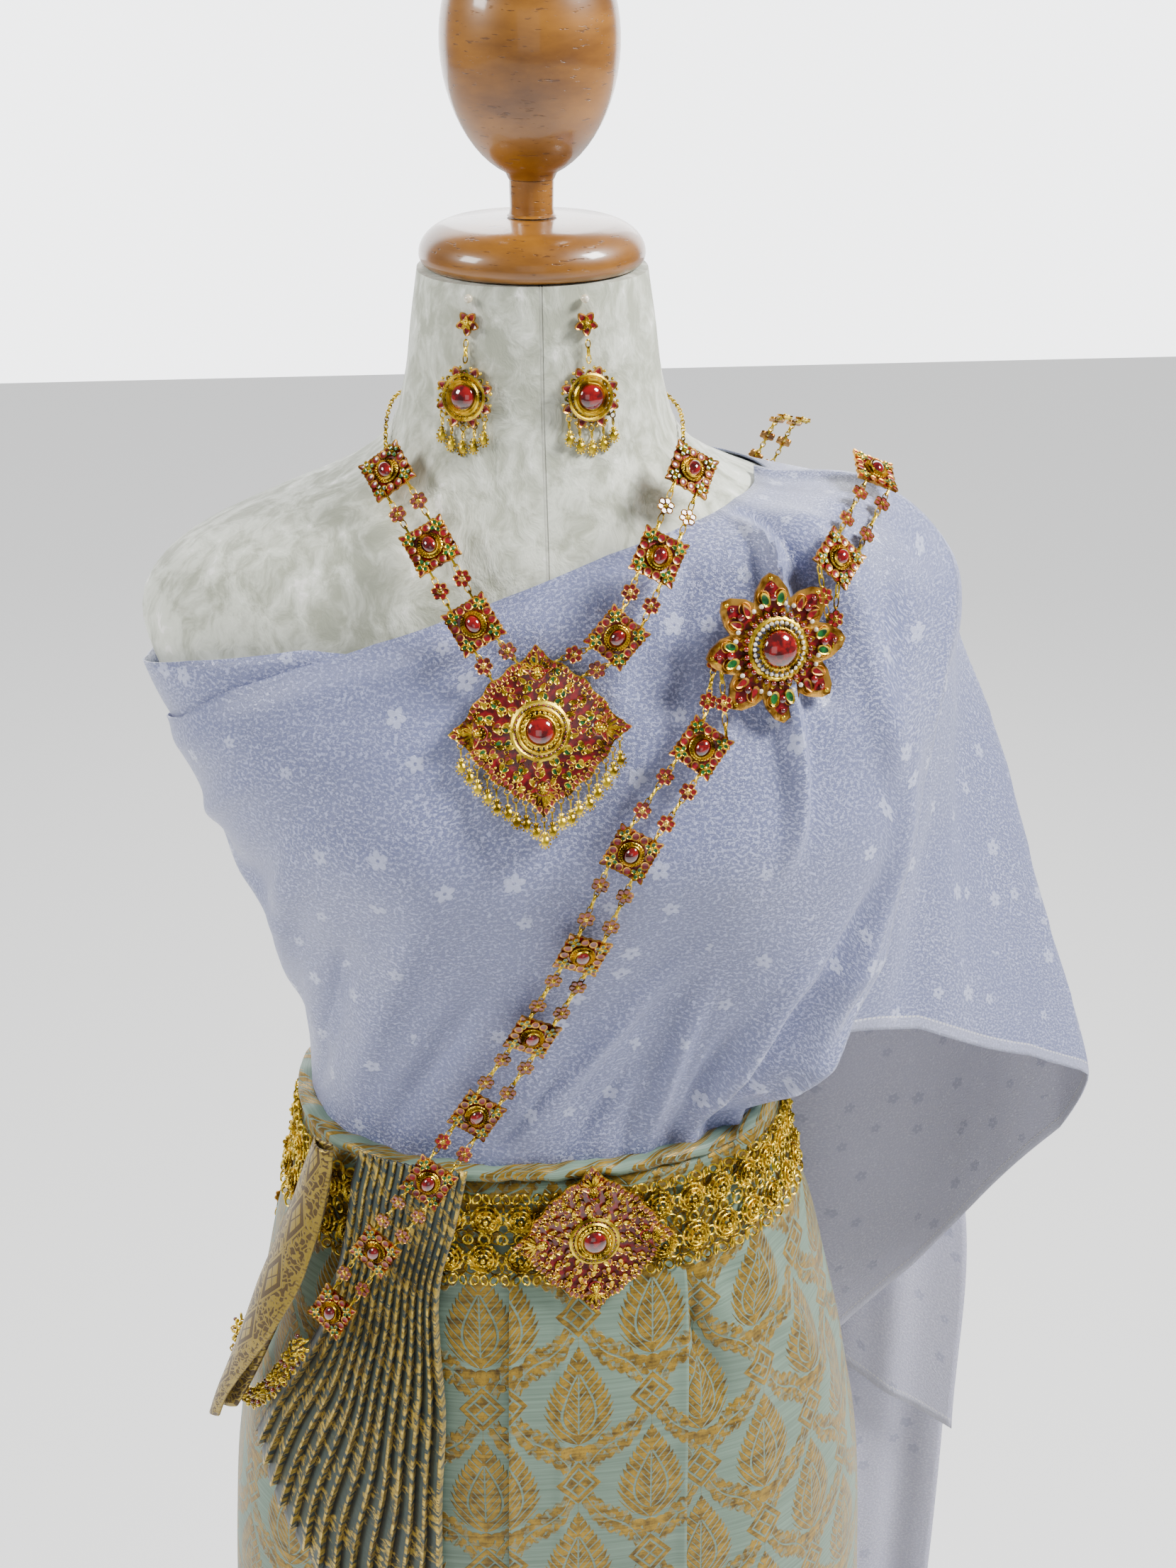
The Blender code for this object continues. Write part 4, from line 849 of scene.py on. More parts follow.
def pleat_finish():
    made, shade, skin = new_finish("pleated_brocade", Sheen_Weight=0.1)
    cut = shade.laid("cut")
    share = shade.axes(shade.laid("share"))
    lie = (share[0] * PLEATS).part()
    y = shade.axes(cut)[1]
    flecks = shade.grain(shade.stretched(cut, 160, 330, 1), 1.0, 3.0, 0.7)
    motif = shade.grain(shade.stretched(cut, 45, 60, 1), 1.0, 2.0).over(0.50, 0.56)
    edge = lie.over(0.80, 0.88)
    run = (y * 900 + lie * 9).sine()
    gold = edge * (flecks + run * 0.10).over(0.40, 0.50)
    gold = gold.most(motif * flecks.over(0.46, 0.56) * 0.8)
    # painted shade: the ground is far darker than the skirt's brocade, and near black toward each pleat's hollow
    ground = flecks.mixed(rgb(28, 38, 36), rgb(66, 84, 78))
    ground = lie.over(0.60, 0.10).mixed(ground, rgb(8, 11, 11))
    thread = flecks.over(0.35, 0.7).mixed(rgb(120, 92, 14), rgb(224, 192, 84))
    shade.coat(skin, gold.mixed(ground, thread),
               0.5 - gold * 0.1, gold * 0.8 + flecks * 0.4, 0.0003, gold * 0.5)
    return made


def pleat_place(u, v):
    step = math.ceil(u * PLEATS - 1e-6) / PLEATS
    rise = u * PLEATS - math.floor(u * PLEATS - 1e-6)
    rise = min(rise, 1.0)
    foot = 0.868 + (0.735 - 0.868) * max(step, 1 / PLEATS) + 0.004 * (1 - rise)
    z = foot + (1.052 - foot) * v
    left, right = blend_rows(PLEAT_FAN, z)
    spread = ease((1.03 - z) / 0.10)
    knife = rise ** 1.4 if rise < 0.93 else (1 - (rise - 0.93) / 0.07)
    lift = 0.0105 - 0.004 * spread + 0.0046 * (0.30 + 0.70 * spread) * knife
    sway = 0.35 * math.sin(u * 9 + z * 60) * ease((0.99 - z) / 0.1)
    lift += 0.0012 * math.sin(u * 7.0 + z * 38) * spread
    crown = -0.0035 * ease((z - 1.030) / 0.022)
    point = surface(skirt_radius, left + (right - left) * u + sway, min(z, 1.040), lift + crown)[0]
    return Vector((point.x, point.y, z))


PLEATED = pleat_finish()
pleats = hung("skirt_pleats", PLEATS * 14, 60, pleat_place, [PLEATED], "brocade", "skirt_front_pleats",
              thickness=0.0009)

# ---------------------------------------------------------------- Border flap
# The gold end border of the skirt length, turned over the belt beside the pleats: scrolls and a column of
# shield motifs on its face, plain brown gold behind, and a light picot along its free edge.
FLAP = ((0.872, -162.0, 0.030, -167.5, 0.026, -163.0, 0.018), (0.895, -159.5, 0.032, -166.5, 0.024, -161.0, 0.014),
        (0.944, -152.0, 0.032, -163.0, 0.022, -156.0, 0.012), (0.975, -148.6, 0.029, -161.5, 0.020, -153.0, 0.012),
        (1.000, -147.5, 0.026, -160.0, 0.018, -151.0, 0.012), (1.030, -147.0, 0.020, -157.0, 0.015, -149.5, 0.011),
        (1.052, -146.5, 0.016, -153.5, 0.013, -148.5, 0.011))


def border_finish():
    made, shade, skin = new_finish("gold_border_weave", Sheen_Weight=0.15)
    cut = shade.laid("cut")
    share = shade.axes(shade.laid("share"))
    u, v, _ = shade.axes(cut)
    scroll = shade.grain(cut, 95, 2.0).line(0.5, 0.022, 0.018)
    scroll = scroll.most(shade.grain(cut, 180, 1.0).line(0.5, 0.030, 0.02) * 0.8)
    x, y = (share[0] - 0.26) * 0.09, v.wrapped(0.019)
    ring = (x.size() / 0.0125 + y.size() / 0.0185)
    shield = ring.line(0.92, 0.06, 0.02).most(ring.over(0.55, 0.5) * (x.size() - y.size()).size().over(0.0004, 0.001))
    clear = ring.over(0.96, 1.05)
    picot = share[0].over(0.045, 0.035) * (0.6 + (v * 2600).sine() * 0.4)
    figure = (scroll * clear).most(shield).most(picot)
    weave = shade.grain(shade.stretched(cut, 400, 1500, 1), 1.0, 2.0)
    ground = weave.mixed(rgb(62, 42, 4), rgb(98, 72, 12))
    shade.coat(skin, figure.mixed(ground, rgb(162, 136, 48)),
               0.50 - figure * 0.12, figure * 0.7 + weave * 0.4, 0.0003, 0.25 + figure * 0.25)
    return made


def flap_place(u, v):
    z = 0.874 + 0.178 * v
    outer, outer_off, fold, fold_off, inner, inner_off = blend_rows(FLAP, z)
    if u < 0.5:
        t = u * 2
        degrees = outer + (fold - outer) * t
        lift = outer_off + (fold_off - outer_off) * t + 0.004 * math.sin(math.pi * t)
    else:
        t = u * 2 - 1
        degrees, lift = fold + (inner - fold) * ease(t), fold_off + (inner_off - fold_off) * t
    point = surface(skirt_radius, degrees, min(z, 1.040), lift)[0]
    return Vector((point.x, point.y, z - 0.010 * (1 - v) * (1 - abs(2 * u - 1))))


BORDER = border_finish()
flap = hung("skirt_border_turnover", 48, 60, flap_place, [BORDER], "border", "skirt_border_flap", thickness=0.0011)

# ---------------------------------------------------------------- Belt
# Gilt brass openwork: two rows of domed coiled-wire rosettes between edgings of small rings, coupled by
# larger rings. Every unit is a copy of the same few castings and wire coils.
def gilt_finish(name, deep, bright, rough):
    made, shade, skin = new_finish(name, Metallic=1.0)
    place = shade.here()
    tarnish = shade.grain(place, 160, 3.0)
    tooth = shade.grain(place, 2400, 2.0, 0.7)
    shade.coat(skin, tarnish.over(0.30, 0.62).mixed(deep, bright), rough + tarnish * 0.16, tooth, 0.00012)
    return made


def enamel_finish(name, deep, bright, rough):
    made, shade, skin = new_finish(name, Coat_Weight=0.8, Coat_Roughness=0.08)
    place = shade.here()
    cloud = shade.grain(place, 420, 2.0)
    shade.coat(skin, cloud.over(0.35, 0.65).mixed(deep, bright), rough + cloud * 0.1)
    return made


def stone_finish(name, deep, bright):
    """Foiled glass, its colour mottled between a deep and a bright tone."""
    made, shade, skin = new_finish(name, Coat_Weight=1.0, Coat_Roughness=0.03, IOR=1.6, Specular_IOR_Level=0.8)
    place = shade.here()
    foil = shade.grain(place, 260, 2.0)
    shade.coat(skin, foil.over(0.35, 0.65).mixed(deep, bright), 0.06 + foil * 0.06)
    return made


GILT = gilt_finish("bright_gilt", rgb(120, 88, 4), rgb(244, 210, 64), 0.20)
ROSE = gilt_finish("pink_gilt", rgb(112, 66, 14), rgb(222, 166, 74), 0.24)
RED = enamel_finish("garnet_enamel", rgb(92, 0, 10), rgb(142, 2, 20), 0.24)
GREEN = enamel_finish("leaf_enamel", rgb(4, 48, 18), rgb(22, 104, 40), 0.24)
RUBY = stone_finish("ruby_glass", rgb(64, 0, 3), rgb(140, 0, 6))
CRYSTAL = stone_finish("clear_paste", rgb(214, 200, 170), rgb(250, 246, 232))
JEWEL = [GILT, ROSE, RED, GREEN, RUBY, CRYSTAL]
GOLD, PINK, GARNET, LEAF, STONE, CLEAR = range(6)


def casting(name, net):
    """A small shape kept aside to be copied, not shown itself."""
    mesh = bpy.data.meshes.new(name)
    bmesh.ops.recalc_face_normals(net, faces=net.faces)
    net.to_mesh(mesh)
    net.free()
    return mesh


def stamp(net, shape, matrix, *turns):
    """Copy a casting into the net, placed by the matrices in turn."""
    for turn in turns:
        matrix = matrix @ turn
    start = len(net.verts)
    net.from_mesh(shape)
    net.verts.ensure_lookup_table()
    bmesh.ops.transform(net, matrix=matrix, verts=net.verts[start:])


def move(x, y, z=0.0):
    return Matrix.Translation((x, y, z))


def spun(degrees, axis="Z"):
    return Matrix.Rotation(math.radians(degrees), 4, axis)


def sized(x, y=None, z=None):
    return Matrix.Diagonal((x, x if y is None else y, x if z is None else z, 1))


def seated(point, x, out):
    """The frame at a point with X along x and Z along out, which stand square to each other."""
    seat = Matrix((x, out.cross(x), out)).transposed().to_4x4()
    seat.translation = point
    return seat


def painted(net, slot):
    for face in net.faces:
        face.material_index = slot


def bead(slot):
    net = bmesh.new()
    bmesh.ops.create_uvsphere(net, u_segments=8, v_segments=5, radius=1)
    painted(net, slot)
    return casting("bead", net)


def wire_ring(slot, wire, steps=12):
    """A ring of radius 1 in wire of that radius."""
    net = bmesh.new()
    made = bmesh.ops.create_circle(net, segments=5, radius=wire, matrix=move(1, 0) @ spun(90, "X"))
    bmesh.ops.spin(net, geom=made["verts"] + net.edges[:], cent=(0, 0, 0), axis=(0, 0, 1), angle=math.tau,
                   steps=steps, use_merge=True)
    bmesh.ops.remove_doubles(net, verts=net.verts, dist=1e-5)
    painted(net, slot)
    return casting("ring", net)


def sunk_plate(net, height, border, depth, rim, fill):
    """Thicken the flat face in the net, and sink a floor of another finish inside a border."""
    grown = bmesh.ops.extrude_face_region(net, geom=net.faces[:])["geom"]
    bmesh.ops.translate(net, vec=(0, 0, height), verts=[g for g in grown if isinstance(g, bmesh.types.BMVert)])
    top = [g for g in grown if isinstance(g, bmesh.types.BMFace)]
    painted(net, rim)
    bmesh.ops.inset_region(net, faces=top, thickness=border, depth=0)
    bmesh.ops.translate(net, vec=(0, 0, -depth), verts=list({vert for face in top for vert in face.verts}))
    for face in top:
        face.material_index = fill


def leaf_cell(rim, fill, blunt=0.0):
    """An enamel cell from its foot at the origin to 1 along Y: a raised wire rim round a sunk fill."""
    net = bmesh.new()
    bmesh.ops.create_circle(net, cap_ends=True, segments=10, radius=0.5)
    for vert in net.verts:
        y = vert.co.y + 0.5
        vert.co = (vert.co.x * (1.20 - (0.60 - blunt) * y), y, 0)
    sunk_plate(net, 1, 0.15, 0.35, rim, fill)
    return casting("leaf_cell", net)


def crown(slot):
    """A domed stone of radius 1."""
    net = bmesh.new()
    bmesh.ops.create_uvsphere(net, u_segments=20, v_segments=12, radius=1)
    bmesh.ops.bisect_plane(net, geom=net.verts[:] + net.edges[:] + net.faces[:], plane_co=(0, 0, -0.02),
                           plane_no=(0, 0, -1), clear_outer=True)
    painted(net, slot)
    return casting("crown", net)


BEAD, RED_BEAD, CLEAR_BEAD, STONE_CROWN = bead(GOLD), bead(STONE), bead(CLEAR), crown(STONE)
RING, FINE_RING, PINK_RING, RED_RING = (wire_ring(GOLD, 0.24, 10), wire_ring(GOLD, 0.10, 24),
                                        wire_ring(PINK, 0.12, 24), wire_ring(GARNET, 0.16, 24))
RED_LEAF, GREEN_LEAF, GOLD_LEAF = leaf_cell(PINK, GARNET), leaf_cell(GOLD, LEAF, 0.4), leaf_cell(GOLD, GOLD)
RED_OVAL = leaf_cell(PINK, GARNET, 0.45)


def petal_round(net, shape, seat, count, radius, length, width, height, lift=0.0, start=0.0):
    """Cells standing in a circle, feet at the radius, tips outwards."""
    for k in range(count):
        stamp(net, shape, seat, spun(start + 360 * k / count), move(0, radius, lift), sized(width, length, height))


def bead_round(net, shape, seat, count, radius, size, lift=0.0, start=0.0):
    for k in range(count):
        stamp(net, shape, seat, spun(start + 360 * k / count), move(0, radius, lift), sized(size))


BELT_RING = wire_ring(GOLD, 0.10, 16)


def rosette():
    net = bmesh.new()
    flat = Matrix()
    for radius, rise in ((0.0074, 0.0008), (0.0054, 0.0020), (0.0034, 0.0030)):
        stamp(net, BELT_RING, move(0, 0, rise), sized(radius, radius, 0.006))
    bead_round(net, BEAD, flat, 11, 0.0078, 0.00105, 0.0009)
    petal_round(net, GOLD_LEAF, flat, 8, 0.0024, 0.0046, 0.0026, 0.0022, 0.0004)
    bead_round(net, BEAD, flat, 6, 0.0030, 0.00085, 0.0034, 15)
    stamp(net, BEAD, move(0, 0, 0.0036), sized(0.0015, 0.0015, 0.0017))
    return casting("rosette", net)


def around(z, lift, count):
    """Evenly spaced seats round the waist: X along the belt, Y up, Z off it."""
    points = [surface(skirt_radius, -270 + k / 2, z, lift) for k in range(721)]
    run = [0.0]
    for a, b in zip(points, points[1:]):
        run.append(run[-1] + (b[0] - a[0]).length)
    seats, k = [], 0
    for n in range(count):
        want = run[-1] * n / count
        while run[k + 1] < want:
            k += 1
        point, normal = points[k]
        side = Vector((0, 0, 1)).cross(normal).normalized()
        seats.append(seated(point, side, normal))
    return seats


ROSETTE = rosette()
net = bmesh.new()
BELT_UNITS = 42
for z in (0.9988, 1.0212):
    for seat in around(z, 0.0036, BELT_UNITS):
        stamp(net, ROSETTE, seat)
for seat in around(1.0100, 0.0042, BELT_UNITS):
    for x, y in ((0.0, 0.0), (0.0094, 0.0112), (0.0094, -0.0112), (0.0094, 0.0)):
        stamp(net, RING, seat, move(x, y, 0.0008), sized(0.0026))
piece_of("belt_rosettes", net, JEWEL, "gilt", "belt_band")
net = bmesh.new()
for z in (0.9870, 1.0335):
    for k, seat in enumerate(around(z, 0.0046, 150)):
        stamp(net, RING, seat, spun(38 if k % 2 else -38, "Y"), sized(0.0025))
for z in (0.9930, 1.0100, 1.0272):
    for seat in around(z, 0.0032, BELT_UNITS * 3):
        stamp(net, BELT_RING, seat, sized(0.0036, 0.0036, 0.006))
piece_of("belt_ring_edging", net, JEWEL, "gilt", "belt_band")


# ---------------------------------------------------------------- Pendant and buckle
# Two large ogee plates of cast filigree: scroll cells filled with garnet and leaf-green enamel, a
# granulated gold boss with a round ruby, four studs, and a fan at each point. Teardrops hang under the pendant.
def seat_of(node, square=False):
    """The seat of a flat CAD ornament: centre of its underside, X towards its furthest corner, Z outwards."""
    mesh = bpy.data.objects[node].data
    ways = {}
    for face in mesh.polygons:
        key = tuple(round(c, 1) for c in face.normal)
        ways.setdefault(key, []).append(face)
    under = max(ways.values(), key=lambda faces: sum(face.area for face in faces))
    low = sum((face.normal * face.area for face in under), Vector()).normalized()
    depth = max(vert.co.dot(low) for vert in mesh.vertices)
    rim = {tuple(round(c, 6) for c in vert.co) for vert in mesh.vertices if vert.co.dot(low) > depth - 0.0002}
    rim = [Vector(place) for place in sorted(rim)]
    flat = [face for face in under if face.center.dot(low) > depth - 0.0002]
    centre = sum((face.center * face.area for face in flat), Vector()) / sum(face.area for face in flat)
    rim.sort(key=lambda place: -round((place - centre).length, 5))
    corner = rim[0]
    if square:
        corner = (corner + min(rim[1:], key=lambda place: (place - rim[0]).length)) / 2
    out = -low
    x = (corner - centre).normalized()
    x = (x - out * x.dot(out)).normalized()
    if square:
        x = (x + out.cross(x)).normalized()
    return seated(centre, x, out)


def ogee_reach(angle, wide, tall):
    """Distance from the centre to the edge of an ogee diamond at an angle in degrees."""
    quarter = (angle % 90) / 90
    c, s = abs(math.cos(math.radians(angle))), abs(math.sin(math.radians(angle)))
    waist = 0.05 * math.sin(math.tau * 2 * min(quarter, 1 - quarter)) ** 2
    bow = 1 + 0.10 * math.sin(math.pi * quarter) ** 2 - waist
    return bow / (c / wide + s / tall)


def ogee_plate(net, seat, wide, tall):
    """The bare plate, gilt round a garnet floor, made first in an empty net."""
    bmesh.ops.create_circle(net, cap_ends=True, segments=72, radius=1)
    for vert in net.verts:
        vert.co *= ogee_reach(math.degrees(math.atan2(vert.co.y, vert.co.x)), wide, tall)
    sunk_plate(net, 0.0016, 0.0011, 0.0004, GOLD, GARNET)
    bmesh.ops.transform(net, matrix=seat, verts=net.verts)


def filigree(net, seat, wide, tall, greens, boss):
    """The whole relief of an ogee plate, from its border in."""
    ogee_plate(net, seat, wide, tall)
    angle = 0.0
    while angle < 360:
        reach = ogee_reach(angle, wide, tall)
        stamp(net, RED_LEAF, seat, spun(angle - 90), move(0, reach - 0.0034, 0.0010), sized(0.0028, 0.0036, 0.0012))
        stamp(net, BEAD, seat, spun(angle - 90), move(0, reach - 0.0042, 0.0018), sized(0.0007))
        angle += math.degrees(0.0030 / reach)
    cells = (RED_LEAF, GOLD_LEAF, GREEN_LEAF if greens else RED_LEAF, GOLD_LEAF)
    ring, radius = 0, boss + 0.0012
    while radius < max(wide, tall):
        count = max(10, round(math.tau * radius / 0.0036))
        for k in range(count):
            angle = 360 * (k + 0.5 * (ring % 2)) / count
            if radius + 0.0058 < ogee_reach(angle, wide, tall):
                lean = 34 if (k + ring) % 2 else -34
                shape = cells[(k + 2 * ring) % 4 if ring % 2 else (k // 2 + ring) % 4]
                stamp(net, shape, seat, spun(angle - 90), move(0, radius, 0.0013), spun(lean),
                      sized(0.0026, 0.0042, 0.0013))
                if k % 2 == 0:
                    stamp(net, RING, seat, spun(angle - 90), move(0, radius + 0.0040, 0.0020),
                          sized(0.0010, 0.0010, 0.0014))
        radius += 0.0040
        ring += 1
    for k, reach in enumerate((wide, tall, wide, tall)):
        corner = seat @ spun(90 * k - 90)
        for lean in (-52, -26, 0, 26, 52):
            stamp(net, GOLD_LEAF, corner, move(0, reach - 0.0125, 0.0016), spun(lean),
                  sized(0.0016, 0.0072 if lean else 0.0086, 0.0013))
        for lean in (-70, 70):
            stamp(net, RED_LEAF, corner, move(0, reach - 0.0135, 0.0016), spun(lean), sized(0.0030, 0.0070, 0.0014))
        stamp(net, BEAD, corner, move(0, reach - 0.0128, 0.0026), sized(0.0012))
        stud = corner @ move(0, (boss + reach) * 0.50, 0.0022)
        stamp(net, STUD, stud)
    stamp(net, FINE_RING, seat, move(0, 0, 0.0024), sized(boss, boss, 0.010))
    stamp(net, FINE_RING, seat, move(0, 0, 0.0028), sized(boss * 0.80, boss * 0.80, 0.012))
    bead_round(net, RED_BEAD, seat, 34, boss * 0.91, boss * 0.060, 0.0026)
    petal_round(net, GOLD_LEAF, seat, 22, boss * 0.52, boss * 0.24, boss * 0.13, 0.0014, 0.0022)
    bead_round(net, BEAD, seat, 24, boss * 0.66, boss * 0.06, 0.0034)
    bead_round(net, BEAD, seat, 20, 0.0079, 0.0009, 0.0036)


def stud_shape():
    net = bmesh.new()
    bead_round(net, BEAD, Matrix(), 8, 0.0022, 0.0007, 0.0)
    stamp(net, RED_RING, sized(0.0033, 0.0033, 0.004))
    stamp(net, BEAD, sized(0.0017))
    return casting("stud", net)


def teardrop():
    """A hollow-backed drop with a beaded rim, hung from a ring; its ring's centre is the origin."""
    net = bmesh.new()
    stamp(net, RING, sized(0.0013, 0.0013, 0.0018))
    stamp(net, RING, move(0, -0.0030), spun(90, "Y"), sized(0.0011, 0.0017, 0.0016))
    for k in range(12):
        turn = math.tau * k / 12
        y = -0.0092 - 0.0036 * math.cos(turn)
        x = 0.0023 * math.sin(turn) * (1 + 0.30 * math.cos(turn))
        stamp(net, BEAD, move(x, y, 0.0004), sized(0.00055))
    stamp(net, BEAD, move(0, -0.0098, 0.0002), sized(0.0020, 0.0026, 0.0013))
    stamp(net, BEAD, move(0, -0.0070, 0.0002), sized(0.0011, 0.0020, 0.0010))
    return casting("teardrop", net)


def domed_stone(net, seat, radius, rise, lift):
    stamp(net, STONE_CROWN, seat, move(0, 0, lift), sized(radius, radius, rise))
    stamp(net, FINE_RING, seat, move(0, 0, lift + 0.0002), sized(radius * 1.06, radius * 1.06, 0.008))


STUD, TEARDROP = stud_shape(), teardrop()
PENDANT_WIDE, PENDANT_TALL = 0.0410, 0.0385
pendant_seat = seat_of("necklace_pendant")
if pendant_seat.col[1].z < 0:
    pendant_seat = pendant_seat @ spun(180)
net = bmesh.new()
filigree(net, pendant_seat, PENDANT_WIDE, PENDANT_TALL, True, 0.0125)
domed_stone(net, pendant_seat, 0.0064, 0.0034, 0.0034)
piece_of("pendant_filigree", net, JEWEL, "enamel", "necklace_pendant", "pendant_stone")

net = bmesh.new()
for angle in (-172, -163, -153, -142, -131, -121, -112, -104, -96, -90, -84, -76, -68, -59, -49, -38, -27, -17, -8):
    reach = ogee_reach(angle, PENDANT_WIDE, PENDANT_TALL) + 0.0010
    place = (reach * math.cos(math.radians(angle)), reach * math.sin(math.radians(angle)))
    stamp(net, TEARDROP, pendant_seat, move(*place, 0.0004))
piece_of("pendant_teardrops", net, JEWEL, "gilt", "pendant_drops")

buckle_seat = seat_of("belt_buckle")
net = bmesh.new()
filigree(net, buckle_seat, 0.0415, 0.0415, False, 0.0120)
domed_stone(net, buckle_seat, 0.0062, 0.0034, 0.0038)
piece_of("buckle_filigree", net, JEWEL, "enamel", "belt_buckle", "buckle_stone")


# ---------------------------------------------------------------- Necklace and shoulder chain
# Square enamelled plaques with an oval ruby, coupled corner to corner by two strands of rings, links and
# six-petalled flowers. The long chain (sangwan) carries a star brooch at the shoulder and closes behind.
def plaque():
    """A plaque 22 mm square."""
    net = bmesh.new()
    bmesh.ops.create_circle(net, cap_ends=True, segments=48, radius=1)
    for vert in net.verts:
        angle = math.atan2(vert.co.y, vert.co.x)
        square = max(abs(math.cos(angle)), abs(math.sin(angle)))
        vert.co *= (0.0103 + 0.0004 * math.cos(angle * 16)) / square ** 0.96
    sunk_plate(net, 0.0013, 0.0005, 0.0004, PINK, GARNET)
    for k in range(4):
        side = spun(90 * k)
        for across in (-1, 1):
            stamp(net, RED_OVAL, side, move(0.0021 * across, 0.0060, 0.0009), sized(0.0036, 0.0044, 0.0009))
        corner = side @ move(0.0067, 0.0067)
        for lean in (-45, 0, -90):
            stamp(net, RED_LEAF, corner, spun(lean), move(0, 0.0004, 0.0009),
                  sized(0.0034, 0.0054 if lean == -45 else 0.0038, 0.0009))
        for petal in range(4):
            stamp(net, GREEN_LEAF, corner, spun(90 * petal), move(0, 0.0005, 0.0013), sized(0.0020, 0.0028, 0.0009))
        stamp(net, BEAD, corner, move(0, 0, 0.0020), sized(0.0007, 0.0007, 0.0005))
    petal_round(net, GOLD_LEAF, Matrix(), 26, 0.0036, 0.0024, 0.0011, 0.0017, 0.0013)
    stamp(net, FINE_RING, move(0, 0, 0.0020), sized(0.0054, 0.0054, 0.007))
    stamp(net, FINE_RING, move(0, 0, 0.0032), sized(0.0036, 0.0045, 0.009))
    stamp(net, STONE_CROWN, move(0, 0, 0.0028), sized(0.0033, 0.0042, 0.0028))
    return casting("plaque", net)


def chain_flower():
    net = bmesh.new()
    petal_round(net, RED_OVAL, Matrix(), 6, 0.0010, 0.0032, 0.0027, 0.0012)
    stamp(net, BEAD, move(0, 0, 0.0010), sized(0.0011, 0.0011, 0.0009))
    return casting("flower", net)


def oval_link():
    net = bmesh.new()
    stamp(net, RING, sized(0.0012, 0.0024, 0.0022))
    return casting("link", net)


STRAND_PITCH = 0.0215
PLAQUE, FLOWER, LINK = plaque(), chain_flower(), oval_link()


def strand(net, start, end, out_start, out_end):
    """One strand from plaque to plaque: ring, link, flower, link, ring."""
    run = end - start
    length = run.length
    pieces = max(1, round(length / STRAND_PITCH))
    stretch = length / pieces / STRAND_PITCH
    for n in range(pieces):
        for share, shape, turn in ((0.08, LINK, 90), (0.25, LINK, 0), (0.50, FLOWER, 0), (0.75, LINK, 0),
                                   (0.92, LINK, 90)):
            t = (n + share) / pieces
            out = out_start.lerp(out_end, t).normalized()
            ahead = run.normalized()
            side = ahead.cross(out).normalized()
            seat = seated(start + run * t, side, side.cross(ahead))
            long = min(1.35, max(0.8, stretch)) if shape is LINK else 1
            stamp(net, shape, seat, spun(turn, "Y"), sized(1, long, 1))


def facing(seat, towards):
    """The plaque's seat with Y along its edge direction nearest to the next plaque."""
    aim = (towards - seat.translation).normalized()
    return max((seat @ spun(90 * k) for k in range(4)), key=lambda turned_seat: turned_seat.col[1].to_3d().dot(aim))


def couple(net, seats, spread=0.0062):
    """Two strands between each pair of neighbours, from (seat, its reach along the chain) pairs."""
    for (a, reach_a), (b, reach_b) in zip(seats, seats[1:]):
        first, second = facing(a, b.translation), facing(b, a.translation)
        for side in (-1, 1):
            start = first @ Vector((side * spread, reach_a, 0.0006))
            end = second @ Vector((-side * spread, reach_b, 0.0006))
            strand(net, start, end, first.col[2].to_3d(), second.col[2].to_3d())


def plaques_piece(name, nodes, slot):
    net = bmesh.new()
    seats = []
    for k, node in enumerate(nodes):
        seat = seat_of(node, True)
        near = nodes[k + 1] if k + 1 < len(nodes) else nodes[k - 1]
        other = seat_of(near, True).translation
        seat = facing(seat, other)
        stamp(net, PLAQUE, seat)
        seats.append(seat)
    piece_of(name, net, JEWEL, slot, *nodes)
    return seats


front_nodes = ["sangwan_plaque_%02d" % k for k in range(1, 11)]
front_seats = plaques_piece("sangwan_plaques", front_nodes, "enamel")
star_seat = seat_of("sangwan_star")

net = bmesh.new()
for k in range(8):
    point = star_seat @ spun(45 * k - 90)
    stamp(net, RED_LEAF, point, move(0, 0.0115, 0.0006), sized(0.0200, 0.0225, 0.0016))
    for side in (-1, 1):
        stamp(net, RED_LEAF if k % 2 else GREEN_LEAF, point, move(0.0026 * side, 0.0190, 0.0018), spun(-20 * side),
              sized(0.0040, 0.0072, 0.0016))
        stamp(net, PINK_RING, point, move(0.0042 * side, 0.0235, 0.0020), sized(0.0028, 0.0028, 0.004))
        stamp(net, CLEAR_BEAD, point, move(0.0058 * side, 0.0196, 0.0026), sized(0.0012))
    stamp(net, RED_BEAD, point, move(0, 0.0230, 0.0034), sized(0.0018, 0.0018, 0.0014))
    stamp(net, RED_BEAD, point, move(0, 0.0282, 0.0026), sized(0.0013, 0.0013, 0.0011))
    stamp(net, BEAD, point, move(0, 0.0315, 0.0022), sized(0.0012))
petal_round(net, GOLD_LEAF, star_seat, 26, 0.0135, 0.0050, 0.0034, 0.0020, 0.0014)
bead_round(net, RED_BEAD, star_seat, 26, 0.0156, 0.0014, 0.0036)
stamp(net, FINE_RING, star_seat, move(0, 0, 0.0034), sized(0.0134, 0.0134, 0.012))
bead_round(net, CLEAR_BEAD, star_seat, 30, 0.0118, 0.0010, 0.0046)
petal_round(net, GOLD_LEAF, star_seat, 24, 0.0082, 0.0030, 0.0018, 0.0026, 0.0036)
domed_stone(net, star_seat, 0.0086, 0.0052, 0.0050)
piece_of("star_brooch", net, JEWEL, "enamel", "sangwan_star", "star_stone")

net = bmesh.new()
seats = [(seat, 0.0108) for seat in front_seats]
seats.insert(2, (star_seat, 0.0270))
couple(net, seats)
piece_of("sangwan_strands", net, JEWEL, "gilt", "sangwan_chain_front")

